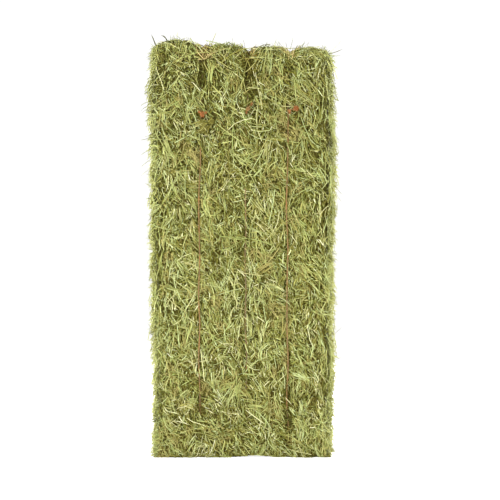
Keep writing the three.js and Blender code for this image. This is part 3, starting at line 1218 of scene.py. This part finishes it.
    def tie(
        self, route: TwineRoute, batch: Batch, lines: np.ndarray, lift: np.ndarray, sink: np.ndarray
    ) -> tuple[np.ndarray, np.ndarray]:
        """Presses stems under one twine and its knot, or lifts them over it where it is buried.

        Where the hay is slit beside the twine, the stems in the slit and most that cross it lie deep.

        Args:
            route: Where the twine runs.
            batch: The stems.
            lines: Their middle lines.
            lift: Heights of these over the pressed form.
            sink: How far the stems are pressed already.

        Returns:
            One distance inwards for each stem, and which stems lie in a slit.
        """
        ways = batch.ways
        faces_twine = np.abs(ways[:, 0]) < self.facing
        aside = lines[..., 0] - route.across(lines[..., 2])
        crosses = (aside[:, :-1] * aside[:, 1:] <= 0).any(1) & faces_twine
        nearest = np.abs(aside).argmin(1)[:, None]
        height = np.take_along_axis(lines[..., 2], nearest, 1)[:, 0]
        level = np.take_along_axis(lift, nearest, 1)[:, 0]
        bare = (height > route.bare[0]) & (height < route.bare[1])
        hidden = np.where(np.abs(ways[:, 2]) > self.end_facing, self.over_end, self.mostly_over)
        over = batch.picked(np.where(bare, route.buried, hidden))
        sink = np.where(crosses & ~over, np.maximum(sink, level - self.under_twine), sink)
        sink = np.where(crosses & over, np.minimum(sink, level - self.over_twine), sink)
        parted = np.any([(height > low) & (height < high) for low, high in route.slits], axis=0)
        over_slit = crosses & batch.picked(self.cross_share)
        wander = self.slit_wander * self.slit_waves.at(lines[:, 0])[:, None]
        in_slit = np.abs(aside - wander).min(1) < self.slit_half
        parted &= batch.picked(self.slit_share) & (in_slit | over_slit) & faces_twine
        sink = np.where(parted, level - self.in_slit, sink)
        knot = np.array([route.across(np.array(route.knot_height)), route.knot_height])
        clear = np.linalg.norm(lines[..., [0, 2]] - knot, axis=-1).min(1) < self.knot_clear
        clear &= (ways[:, 1] < -self.front_facing) & batch.picked(route.knot_bare)
        sink = np.where(clear, np.maximum(sink, lift.max(1) - self.under_knot), sink)
        return sink, parted

    def by_hollows(self, batch: Batch, lines: np.ndarray, top: np.ndarray) -> list[np.ndarray]:
        """Finds the low stems of the front whose middles lie within each hollow's radius.

        Args:
            batch: The stems.
            lines: Their middle lines.
            top: Their greatest heights over the pressed form.

        Returns:
            For each hollow, which stems lie in it.
        """
        middles = lines.mean(1)
        low = (batch.ways[:, 1] < -self.front_facing) & (top < self.over_hollow)
        return [
            low & (np.hypot(middles[:, 0] - across, middles[:, 2] - height) < radius)
            for across, height, radius in self.hollows
        ]

    def by_seams(self, batch: Batch, lines: np.ndarray) -> list[np.ndarray]:
        """Finds the stems that lie in the seams, which wander and close up here and there.

        Args:
            batch: The stems.
            lines: Their middle lines.

        Returns:
            For each seam, which stems lie in it.
        """
        tails = lines[:, 0]
        on_wall = np.abs(batch.ways[:, 2]) < self.seam_facing
        is_open = (self.seam_breaks.at(tails) > self.seam_least) & on_wall
        wander = self.seam_wander * self.seam_breaks.at(tails + self.wander_shift)[:, None]
        beside = [np.abs(lines[..., 0] - seam - wander).min(1) < self.seam_half for seam in self.seams]
        return [near & is_open & batch.picked(self.seam_share) for near in beside]

    def tones(self, batch: Batch, depth: np.ndarray) -> tuple[np.ndarray, np.ndarray]:
        """Chooses each stem's place on the palette.

        The hue drifts in patches, turns to straw for faded hay by the twines on the crown, and is
        more even on the two sides. The lightness makes up for the patches. Painted shade makes it less
        for stems that lie deeper, in a groove, at a parting or close to the floor, and painted light
        makes it more on the two sides and low down. Its contrast grows with the height.

        Args:
            batch: The stems.
            depth: Their heights over the pressed form.

        Returns:
            Hue and lightness of each stem, from 0 to 1.
        """
        sort = batch.sort
        across, inward, height = batch.roots.T
        sideness = batch.ways[:, 0] ** 2
        drift = self.patch_hue * self.hue_patches.at(batch.roots)
        drift = drift + self.speck_hue * self.hue_specks.at(batch.roots)
        hue = batch.between(*sort.hue)[batch.lead] + batch.spread(self.own_hue) + drift
        beside = [
            route.bleached * np.exp(-(((across - route.crown) / self.bleach_width) ** 2))
            for route in ROUTES
        ]
        chance = np.max(beside, axis=0) * smooth_step(height, *self.bleach_rise)
        straw = batch.picked(chance * smooth_step(-inward, *self.bleach_front))
        faded = straw & (sort.length[1] < self.bleach_longest)
        straw_hue = batch.between(*self.bleach_hue) + self.bleach_long * ~faded
        hue = np.where(straw, straw_hue, hue)
        hue = hue + self.side_even * (self.side_hue - hue) * sideness
        light = batch.between(*sort.light) - self.even_light * drift
        # Painted light makes the two sides lighter, and painted shade darkens them at the partings
        # between the flakes
        light = light + (self.side_light - self.parting_painted_shade * self.form.parting(height)) * sideness
        # Painted shade: stems close to the floor are darker
        light = light - self.floor_painted_shade * (1 - smooth_step(height, 0.0, self.foot_shade))
        # Painted shade: stems that lie deeper, or in a twine's groove, are darker
        light = light + self.depth_painted_shade * np.minimum(depth, 0)
        light = light - self.depth_painted_shade * self.form.grooves(batch.roots, batch.ways)
        light = light + self.bleach_light * faded
        # Painted light: stems lower down on the bale are lighter
        light = light + self.low_painted_light * (1 - smooth_step(height, *self.long_rise))
        contrast = self.crown_contrast * smooth_step(height, *self.contrast_rise)
        light = light + contrast * (light - self.contrast_middle)
        hue = np.clip(hue, self.hue_limits[0] * ~straw, self.hue_limits[1])
        return hue, np.clip(light, *self.light_limits)


@dataclass(frozen=True)
class StrayStraw:
    """One straw that stands clear of the bale's outline, seen from the front."""

    base: tuple[float, float]
    tip: tuple[float, float]
    width: float
    hue: float
    light: float
    curl: float = 0.08
    inward: float = -0.15
    rooted: float = 0.4
    forward: float = -0.004
    points: int = 6
    ridge: float = 0.6

    def path(self) -> StemPaths:
        """Draws the straw from a root inside the hay, bending sideways by the cube of the way.

        Returns:
            The straw's line and section.
        """
        share = np.linspace(-self.rooted, 1, self.points)[:, None]
        base = np.array([self.base[0], self.inward, self.base[1]])
        run = np.array([self.tip[0] - self.base[0], self.forward, self.tip[1] - self.base[1]])
        side = np.array([-run[2], 0, run[0]])
        line = base + run * share + side * self.curl * (np.abs(share) ** 3 - share)
        return StemPaths(
            lines=line[None],
            ways=np.tile([0.0, -1.0, 0.0], (1, self.points, 1)),
            widths=np.array([self.width]),
            ridge=self.ridge,
            rolls=np.zeros(1),
            hues=np.array([self.hue]),
            lights=np.array([self.light]),
        )


# The straws and tufts that stand out of the crown and of the two sides
STRAYS = (
    StrayStraw((-0.2533, 1.207), (-0.2691, 1.2486), 0.0030, 0.38, 0.04),
    StrayStraw((-0.2207, 1.226), (-0.2398, 1.2450), 0.0034, 0.40, 0.06, curl=0.45),
    StrayStraw((-0.0895, 1.2216), (-0.0752, 1.2560), 0.0019, 0.84, 0.45, curl=-0.03),
    StrayStraw((-0.1984, 1.2300), (-0.2005, 1.2439), 0.0010, 0.55, 0.60),
    StrayStraw((-0.1602, 1.2248), (-0.1647, 1.2418), 0.0009, 0.60, 0.60),
    StrayStraw((-0.0276, 1.2160), (-0.0288, 1.2406), 0.0009, 0.60, 0.50),
    StrayStraw((0.0080, 1.2130), (0.0030, 1.2330), 0.0010, 0.30, 0.30),
    StrayStraw((0.1054, 1.2154), (0.1074, 1.2310), 0.0009, 0.70, 0.60),
    StrayStraw((0.1423, 1.2050), (0.1506, 1.2403), 0.0011, 0.40, 0.45),
    StrayStraw((0.1330, 1.2050), (0.1280, 1.2260), 0.0010, 0.15, 0.40),
    StrayStraw((0.1691, 1.2010), (0.1723, 1.2180), 0.0014, 0.30, 0.20),
    StrayStraw((0.2351, 1.2050), (0.2392, 1.2190), 0.0010, 0.50, 0.50),
    StrayStraw((0.2600, 1.1905), (0.2979, 1.2051), 0.0017, 0.30, 0.15),
    StrayStraw((0.2610, 1.1960), (0.2958, 1.2330), 0.0010, 0.85, 0.75),
    StrayStraw((0.2620, 1.1850), (0.2930, 1.1860), 0.0010, 0.60, 0.50),
    StrayStraw((-0.2730, 1.0510), (-0.3030, 1.0330), 0.0014, 0.45, 0.40, curl=0.2),
    StrayStraw((-0.2730, 1.0420), (-0.3020, 1.0190), 0.0012, 0.40, 0.35),
    StrayStraw((-0.2740, 1.0330), (-0.2990, 1.0120), 0.0010, 0.55, 0.55),
    StrayStraw((-0.2720, 0.9430), (-0.3030, 0.9350), 0.0013, 0.35, 0.35, curl=-0.1),
    StrayStraw((-0.2740, 0.9080), (-0.3020, 0.8880), 0.0012, 0.45, 0.45),
    StrayStraw((-0.2740, 0.8760), (-0.3010, 0.8530), 0.0012, 0.50, 0.50),
    StrayStraw((-0.2740, 0.8500), (-0.2990, 0.8290), 0.0010, 0.55, 0.60),
    StrayStraw((0.2740, 0.8000), (0.2990, 0.7720), 0.0012, 0.50, 0.50),
    StrayStraw((0.2740, 0.7860), (0.2960, 0.7500), 0.0011, 0.55, 0.60),
    StrayStraw((0.2670, 0.8394), (0.2935, 0.8218), 0.0012, 0.40, 0.30),
    StrayStraw((0.2670, 0.3580), (0.2964, 0.3845), 0.0011, 0.35, 0.30),
    StrayStraw((0.2700, 0.2818), (0.2964, 0.2964), 0.0012, 0.35, 0.25),
    StrayStraw((0.2700, 0.0616), (0.2906, 0.0704), 0.0010, 0.50, 0.50),
)


def lofted(rings: np.ndarray, palette: np.ndarray, closed: bool = False) -> Solid:
    """Skins rings that follow each other along a line.

    Neighbouring rings are joined by four-cornered faces, and the two ends of an open line are closed
    with fans to their middles.

    Args:
        rings: Points, by ring and then round it anticlockwise as seen from ahead.
        palette: Palette places of the same points.
        closed: Whether the last ring joins the first.

    Returns:
        The closed skin.
    """
    levels, count = rings.shape[:2]
    number = np.arange(levels * count).reshape(levels, count)
    joins = slice(None) if closed else slice(-1)
    a, d = number[joins], np.roll(number, -1, axis=0)[joins]
    b, c = np.roll(a, -1, axis=1), np.roll(d, -1, axis=1)
    faces = split_quads(a, b, c, d)
    places, tones = rings.reshape(-1, 3), palette.reshape(-1, 2)
    if not closed:
        bottom = np.column_stack([np.full(count, levels * count), b[0], a[0]])
        top = np.column_stack([np.full(count, levels * count + 1), d[-1], c[-1]])
        faces = np.concatenate([faces, bottom, top])
        places = np.concatenate([places, rings[[0, -1]].mean(1)])
        tones = np.concatenate([tones, palette[[0, -1]].mean(1)])
    return Solid(places, faces, tones)


@dataclass
class Flake:
    """One flake: a matted core that the sight never reaches through, under loose hay."""

    name: str
    number: int
    form: BaleForm
    core_depth: float = 0.012
    core_drop: float = 0.0125
    core_hue: tuple[float, float] = (0.18, 0.42)
    # Painted shade: the core is toned nearly black, like the shade deep among the stems
    core_painted_shade: tuple[float, float] = (0.02, 0.12)
    ring_points: int = 144
    levels: int = 9
    end_rings: int = 14
    end_shrink: tuple[float, float] = (0.97, 0.04)
    end_past: float = 0.03

    def core(self, rng: np.random.Generator) -> Solid:
        """Lofts the core from rings round the flake and closes both ends.

        A ring's points go round the rectangle of the walls by equal shares of its four sides and are
        settled under the form; an end that shows goes on in rings that shrink to its middle.

        Args:
            rng: Source of the mottled tone.

        Returns:
            The closed skin of the core.
        """
        low, high = self.form.partings[self.number], self.form.partings[self.number + 1]
        left, right, front, back = self.form.walls[self.number]
        share = np.arange(self.ring_points) / self.ring_points * 4
        going = np.clip(share, 0, 1) - np.clip(share - 2, 0, 1)
        rising = np.clip(share - 1, 0, 1) - np.clip(share - 3, 0, 1)
        rim = np.column_stack([left + (right - left) * going, front + (back - front) * rising])
        middle = np.array([(left + right) / 2, (front + back) / 2])
        shrink = np.linspace(*self.end_shrink, self.end_rings)
        steps = [(1.0, z) for z in np.linspace(low, high, self.levels)]
        if self.is_foot():
            steps = [(k, low - self.end_past) for k in shrink[::-1]] + steps[1:]
        if self.is_crown():
            steps = steps[:-1] + [(k, high + self.end_past) for k in shrink]
        rings = np.array([
            np.column_stack([middle + (rim - middle) * k, np.full(self.ring_points, z)])
            for k, z in steps
        ])
        settled, _ = self.form.settle(rings, np.full(rings.shape[:2], -self.core_depth))
        height = settled[..., 2]
        if self.is_foot():
            height = np.where(height < self.core_drop, self.form.floor(settled), height)
        else:
            height = np.maximum(height, low)
        settled[..., 2] = height
        # Painted shade: the core's lightness stays near the dark end of the palette
        tone = [rng.uniform(*span, height.shape) for span in (self.core_hue, self.core_painted_shade)]
        return lofted(settled, np.stack(tone, -1))

    def is_foot(self) -> bool:
        """Tells whether the bale stands on this flake."""
        return self.number == 0

    def is_crown(self) -> bool:
        """Tells whether this flake is the uppermost."""
        return self.number == len(self.form.middles) - 1

    def build(self, finish: bpy.types.Material) -> bpy.types.Object:
        """Makes the flake's piece in place of its solid.

        Args:
            finish: Material of the hay.

        Returns:
            The piece.
        """
        rng = np.random.default_rng(SEED + self.number)
        layer = HayLayer(self.form)
        faces = [BaleFace.FRONT, BaleFace.BACK, BaleFace.LEFT, BaleFace.RIGHT]
        if self.is_foot():
            faces.append(BaleFace.FOOT)
        if self.is_crown():
            faces.append(BaleFace.CROWN)
        parts = [self.core(rng)]
        for sort in (kind.value for kind in StemKind):
            for face, share in sort.cover.value.items():
                if face in faces:
                    roots = self.form.scatter(self.number, face, sort.per_area * share, rng)
                    parts.append(layer.lay(roots, sort, rng).skin())
        strays = [straw for straw in STRAYS if self.form.flake_at(straw.base[1]) == self.number]
        parts += [straw.path().skin() for straw in strays]
        piece = Solid.joined(parts).make_object(f"hay_{self.name}", finish)
        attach(piece, BODY)
        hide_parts(self.name)
        return piece


@dataclass(frozen=True)
class FibreSort:
    """How split fibres of the twine's film are cut, bent and toned."""

    length: tuple[float, float]
    stations: tuple[float, ...]
    width: tuple[float, float]
    hue: tuple[float, float]
    light: tuple[float, float]
    ridge: float = 0.4

    def strands(
        self, lines: np.ndarray, way: tuple[float, ...], dull: float, rng: np.random.Generator
    ) -> StemPaths:
        """Gives fibres their sections and tones.

        Args:
            lines: Middle lines of the fibres.
            way: A direction that their flat sides mostly face.
            dull: How far the hue falls short.
            rng: Source of their widths, turns and tones.

        Returns:
            The fibres' lines and sections.
        """
        count = len(lines)
        return StemPaths(
            lines=lines,
            ways=np.tile(way, (count, len(self.stations), 1)),
            widths=rng.uniform(*self.width, count),
            ridge=self.ridge,
            rolls=rng.uniform(0, math.tau, count),
            hues=rng.uniform(*self.hue, count) - dull,
            lights=rng.uniform(*self.light, count),
        )


# The brush of a cut end, with lengths as shares of the tail's, and single fibres along the rope
FRAYED_END = FibreSort(
    length=(0.6, 1.2),
    stations=(0, 0.3, 0.7, 1),
    width=(0.0006, 0.0012),
    hue=(0.62, 0.99),
    light=(0.5, 0.9),
)
LOOSE_FIBRE = FibreSort(
    length=(0.006, 0.016),
    stations=(0, 0.35, 0.7, 1),
    width=(0.0004, 0.0008),
    hue=(0.3, 0.9),
    light=(0.4, 0.9),
)


@dataclass
class Twine:
    """One loop of twisted twine with its knot, its tails and loose fibres."""

    route: TwineRoute
    # The rope: two plies that twist once round over each pitch
    radius: float = 0.0021
    lobe: float = 0.22
    pitch: float = 0.024
    sides: int = 8
    step: float = 0.004
    # How it sways from its route, and sinks where hay covers it on the front and the back
    sway: float = 0.0012
    sway_length: float = 0.16
    sway_seed: int = 13
    sunk: float = 0.005
    sunk_fade: float = 0.03
    face_from: float = 0.1
    # Tones of the plies, their wear and dust, painted light on their crests and painted shade in the
    # twist between them, and small steps so that no face is of one tone
    ply_hue: float = 0.36
    lobe_hue: float = 0.14
    wear_hue: float = 0.08
    wear: Drift = Drift(0.03, 11)
    side_hue: float = 0.02
    ply_light: float = 0.55
    lobe_painted_light: float = 0.12
    dust_light: float = 0.07
    dust: Drift = Drift(0.012, 12)
    side_light: float = 0.03
    side_turn: float = 900.0
    tone_limits: tuple[float, float] = (0.02, 0.98)
    # The knot and its tails
    knot_radius: float = 0.0030
    knot_steps: int = 96
    knot_swing: float = 0.5
    knot_stretch: tuple[float, float, float] = (1.25, 0.6, 0.85)
    knot_aside: tuple[float, float, float] = (0.1, 1.0, 0.2)
    knot_out: float = 0.0035
    knot_right: float = 0.003
    knot_fresh: float = 0.25
    tail_points: int = 9
    tail_rise: float = 0.002
    tail_thin: float = 0.9
    tail_aside: tuple[float, float, float] = (0.0, 1.0, 0.3)
    fray_curl: float = 0.2
    # Loose fibres
    fibres: int = 220
    fibre_lean: float = 0.25
    fibre_lowest: float = 0.002
    fibre_seed: int = 7

    def rope(
        self,
        line: np.ndarray,
        aside: tuple[float, ...],
        closed: bool,
        radius: float,
        fresh: float = 0.0,
    ) -> Solid:
        """Carries a two-lobed section along a line, turning it as two plies twist.

        The section's radius is the rope's, plus a lobe by the cosine of twice the angle, and its
        angle grows by a whole turn over each pitch.

        Args:
            line: Points along the rope's middle.
            aside: A direction that is never along the rope.
            closed: Whether the last point joins the first.
            radius: Radius of the rope.
            fresh: How much further along the hues it is where the sun hasn't faded it.

        Returns:
            The closed skin.
        """
        around = np.roll(line, -1, axis=0) - np.roll(line, 1, axis=0)
        along = unit(around if closed else np.gradient(line, axis=0))
        across = np.tile(aside, (len(line), 1))
        first = unit(across - along * (across * along).sum(1, keepdims=True))
        second = np.cross(along, first)
        run = np.concatenate([[0], np.cumsum(np.linalg.norm(np.diff(line, axis=0), axis=1))])
        whole = run[-1] + np.linalg.norm(line[0] - line[-1])
        pitch = whole / max(round(whole / self.pitch), 1)
        angle = np.arange(self.sides) / self.sides * math.tau
        turned = angle[None] + (run / pitch * math.tau)[:, None]
        lobes = np.cos(2 * angle)
        width = radius * (1 + self.lobe * lobes)[None, :, None]
        rings = line[:, None] + width * (
            first[:, None] * np.cos(turned)[..., None] + second[:, None] * np.sin(turned)[..., None]
        )
        # Painted light and shade: the plies' crests are lighter and more orange, the twist between
        # them darker and browner
        hue = self.ply_hue + fresh - self.route.dull + self.lobe_hue * lobes[None]
        hue = hue + self.wear_hue * self.wear.at(line)[:, None]
        light = self.ply_light + self.lobe_painted_light * lobes[None]
        light = light + self.dust_light * self.dust.at(line)[:, None]
        hue = hue + self.side_hue * np.sin(angle)
        light = light + self.side_light * np.sin(angle + run[:, None] * self.side_turn)
        return lofted(rings, np.clip(np.stack([hue, light], -1), *self.tone_limits), closed)

    def knot_middle(self) -> np.ndarray:
        """Gives the middle of the knot, just out of the loop's front run."""
        across = float(self.route.across(np.array(self.route.knot_height)))
        out = self.route.depth / 2 - self.route.seat + self.knot_out
        return np.array([across + self.knot_right, -out, self.route.knot_height])

    def knot(self) -> list[Solid]:
        """Ties a flattened trefoil and lets the tails out of it, each ending in frayed fibres.

        The trefoil's angle goes twice round while its distance from the middle swings three times. A
        tail is a straight line, bulged by half a sine wave.

        Returns:
            The closed skins of the knot, its tails and their fray.
        """
        turn = np.arange(self.knot_steps) / self.knot_steps * math.tau
        size = self.knot_radius * self.route.knot_size
        swing = size * (1 + self.knot_swing * np.cos(3 * turn))
        wide, deep, tall = self.knot_stretch
        line = self.knot_middle() + np.column_stack([
            wide * swing * np.cos(2 * turn),
            deep * size * np.sin(3 * turn),
            tall * swing * np.sin(2 * turn),
        ])
        parts = [self.rope(line, self.knot_aside, True, self.radius, self.knot_fresh)]
        rng = np.random.default_rng(SEED + len(self.route.node))
        share = np.linspace(0, 1, self.tail_points)[:, None]
        thin = self.radius * self.tail_thin
        for tail in self.route.tails:
            line = self.knot_middle() + np.array(tail.reach) * share
            line = line + np.array([0, tail.bulge, self.tail_rise]) * np.sin(math.pi * share)
            parts.append(self.rope(line, self.tail_aside, False, thin, self.knot_fresh))
            parts.append(self.fray(line[-1], tail, rng).skin())
        return parts

    def fray(self, root: np.ndarray, tail: TwineTail, rng: np.random.Generator) -> StemPaths:
        """Spreads split fibres out of the cut end of a tail, curling by the square of the way.

        Args:
            root: Place that the fibres leave.
            tail: The tail that is cut, with its number of fibres and their spread.
            rng: Source of their spread.

        Returns:
            The fibres' lines and sections.
        """
        count = tail.fibres
        spread = unit(unit(np.array(tail.reach)) + rng.normal(0, tail.spread, (count, 3)))
        run = tail.length * rng.uniform(*FRAYED_END.length, count)[:, None, None]
        share = np.array(FRAYED_END.stations)[None, :, None]
        curl = rng.normal(0, self.fray_curl, (count, 1, 3)) * share**2
        lines = root + run * (spread[:, None] * share + curl)
        return FRAYED_END.strands(lines, (0.0, -1.0, 0.0), self.route.dull, rng)

    def loose_fibres(self, line: np.ndarray, rng: np.random.Generator) -> StemPaths:
        """Lets split fibres stand a little way off the rope.

        Args:
            line: Points along the rope's middle.
            rng: Source of their places, lengths and leanings.

        Returns:
            The fibres' lines and sections.
        """
        picks = rng.integers(0, len(line) - 1, self.fibres)
        along = unit(line[picks + 1] - line[picks])
        lean = unit(along + rng.normal(0, self.fibre_lean, along.shape))
        run = rng.uniform(*LOOSE_FIBRE.length, self.fibres)[:, None, None]
        share = np.array(LOOSE_FIBRE.stations)[None, :, None]
        lines = line[picks][:, None] + run * lean[:, None] * share
        lines[..., 2] = np.maximum(lines[..., 2], self.fibre_lowest)
        return LOOSE_FIBRE.strands(lines, (1.0, 0.0, 0.0), 0.0, rng)

    def build(self, finish: bpy.types.Material) -> bpy.types.Object:
        """Makes the loop's piece in place of its solid.

        Args:
            finish: Material of the twine.

        Returns:
            The piece.
        """
        number = len(self.route.node)
        rng = np.random.default_rng(SEED + number + self.fibre_seed)
        line = self.route.loop(self.step)
        line[:, 0] += self.sway * Drift(self.sway_length, self.sway_seed + number).at(line)
        low, high = self.route.bare
        height = line[:, 2]
        covered = smooth_step(height, high, high + self.sunk_fade)
        covered = covered + 1 - smooth_step(height, low - self.sunk_fade, low)
        on_face = np.abs(line[:, 1]) > self.face_from
        line[:, 1] -= self.sunk * covered * np.sign(line[:, 1]) * on_face
        parts = [self.rope(line, (1.0, 0.0, 0.0), True, self.radius), *self.knot()]
        parts.append(self.loose_fibres(line, rng).skin())
        name = self.route.node.replace("twine", "baler_twine")
        piece = Solid.joined(parts).make_object(name, finish)
        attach(piece, BODY)
        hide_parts(self.route.node)
        return piece


@dataclass(frozen=True)
class Lamp:
    """A square soft lamp that faces the middle of the bale."""

    name: str
    place: tuple[float, float, float]
    size: float
    power: float
    aim: tuple[float, float, float] = (0.0, 0.0, 0.6)

    def hang(self) -> None:
        """Hangs the lamp, turned up from straight down and then round to what it lights."""
        data = bpy.data.lights.new(self.name, "AREA")
        data.size = self.size
        data.energy = self.power
        lamp = bpy.data.objects.new(self.name, data)
        lamp.location = self.place
        x, y, z = np.array(self.aim) - np.array(self.place)
        pitch = math.pi / 2 + math.atan2(z, math.hypot(x, y))
        lamp.rotation_euler = (pitch, 0, math.atan2(-x, y))
        bpy.context.scene.collection.objects.link(lamp)


LAMPS = (
    Lamp("front_softbox", (-1.4, -3.6, 2.4), 1.0, 159),
    Lamp("top_softbox", (0.0, -0.3, 3.8), 1.4, 70),
    Lamp("front_fill", (2.2, -4.2, 0.5), 1.4, 92),
    Lamp("low_fill_left", (-0.95, -1.4, 0.25), 0.4, 19.5),
    Lamp("low_fill_right", (0.95, -1.4, 0.25), 0.4, 19.5),
    Lamp("back_softbox", (1.4, 3.6, 2.4), 1.0, 159),
    Lamp("back_fill", (-2.2, 4.2, 0.5), 1.4, 92),
    Lamp("low_back_left", (-0.95, 1.4, 0.25), 0.4, 19.5),
    Lamp("low_back_right", (0.95, 1.4, 0.25), 0.4, 19.5),
    Lamp("left_strip", (-2.7, 1.9, 1.6), 1.6, 150),
    Lamp("right_strip", (2.7, 1.9, 1.6), 1.6, 150),
)


@dataclass(frozen=True)
class Studio:
    """A white floor, soft lamps and the level camera in front of the bale."""

    metre_per_pixel: float = 0.002935
    picture: int = 500
    foot_pixel: tuple[float, float] = (242.0, 458.0)
    distance: float = 5.8
    front: float = -0.195
    sensor: float = 36.0
    floor_radius: float = 30.0
    floor_points: int = 96
    floor_grey: float = 0.6
    floor_rough: float = 0.9
    floor_glow: float = 0.85
    sky_light: float = 0.3
    sky_white: float = 1.05

    def floor(self) -> None:
        """Lays a wide disc of white paper that glows a little to the eye and stays out of the part."""
        count = self.floor_points
        angle = np.arange(count) / count * math.tau
        rim = np.column_stack([np.cos(angle), np.sin(angle), np.zeros(count)]) * self.floor_radius
        mesh = bpy.data.meshes.new("studio_floor")
        mesh.from_pydata(rim.tolist(), [], [list(range(count))])
        material = bpy.data.materials.new("white_studio_paper")
        material.use_nodes = True
        tree = material.node_tree
        shader = tree.nodes["Principled BSDF"]
        shader.inputs["Base Color"].default_value = (*[self.floor_grey] * 3, 1)
        shader.inputs["Roughness"].default_value = self.floor_rough
        shader.inputs["Emission Color"].default_value = WHITE
        path = add_node(tree, "ShaderNodeLightPath", {}, {})
        glow = add_node(
            tree,
            "ShaderNodeMath",
            {"operation": "MULTIPLY", 1: self.floor_glow},
            {0: path.outputs["Is Camera Ray"]},
        )
        tree.links.new(glow.outputs["Value"], shader.inputs["Emission Strength"])
        mesh.materials.append(material)
        disc = bpy.data.objects.new("studio_floor", mesh)
        bpy.context.scene.collection.objects.link(disc)

    def sky(self) -> None:
        """Surrounds the scene with white that lights it softly from all round."""
        world = bpy.data.worlds.new("white_studio")
        bpy.context.scene.world = world
        world.use_nodes = True
        tree = world.node_tree
        path = add_node(tree, "ShaderNodeLightPath", {}, {})
        strength = add_node(
            tree,
            "ShaderNodeMapRange",
            {"To Min": self.sky_light, "To Max": self.sky_white},
            {"Value": path.outputs["Is Camera Ray"]},
        )
        background = tree.nodes["Background"]
        tree.links.new(strength.outputs["Result"], background.inputs["Strength"])
        background.inputs["Color"].default_value = WHITE

    def camera(self) -> None:
        """Stands the camera square to the front, with the photograph's scale at the front face."""
        data = bpy.data.cameras.new("camera")
        data.sensor_width = self.sensor
        data.lens = self.sensor * self.distance / (self.metre_per_pixel * self.picture)
        camera = bpy.data.objects.new("camera", data)
        across = (self.picture / 2 - self.foot_pixel[0]) * self.metre_per_pixel
        height = (self.foot_pixel[1] - self.picture / 2) * self.metre_per_pixel
        camera.location = (across, self.front - self.distance, height)
        camera.rotation_euler = (math.pi / 2, 0, 0)
        bpy.context.scene.collection.objects.link(camera)
        bpy.context.scene.camera = camera

    def build(self) -> None:
        """Sets up the floor, the light and the camera."""
        bpy.context.scene.view_settings.view_transform = "Standard"
        self.floor()
        self.sky()
        for lamp in LAMPS:
            lamp.hang()
        self.camera()


def main() -> None:
    """Builds the studio, the flakes and the loops of twine, and reports each piece."""
    logging.basicConfig(level=logging.INFO)
    Studio().build()
    flakes = sorted(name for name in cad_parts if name.startswith("flake"))
    form = BaleForm(flakes)
    hay = DRIED_GRASS.make()
    for number, name in enumerate(flakes):
        piece = Flake(name, number, form).build(hay)
        LOG.info("%s: %d triangles", piece.name, len(piece.data.polygons))
    twine = BALER_TWINE.make()
    for route in ROUTES:
        piece = Twine(route).build(twine)
        LOG.info("%s: %d triangles", piece.name, len(piece.data.polygons))


if __name__ == "__main__":
    main()
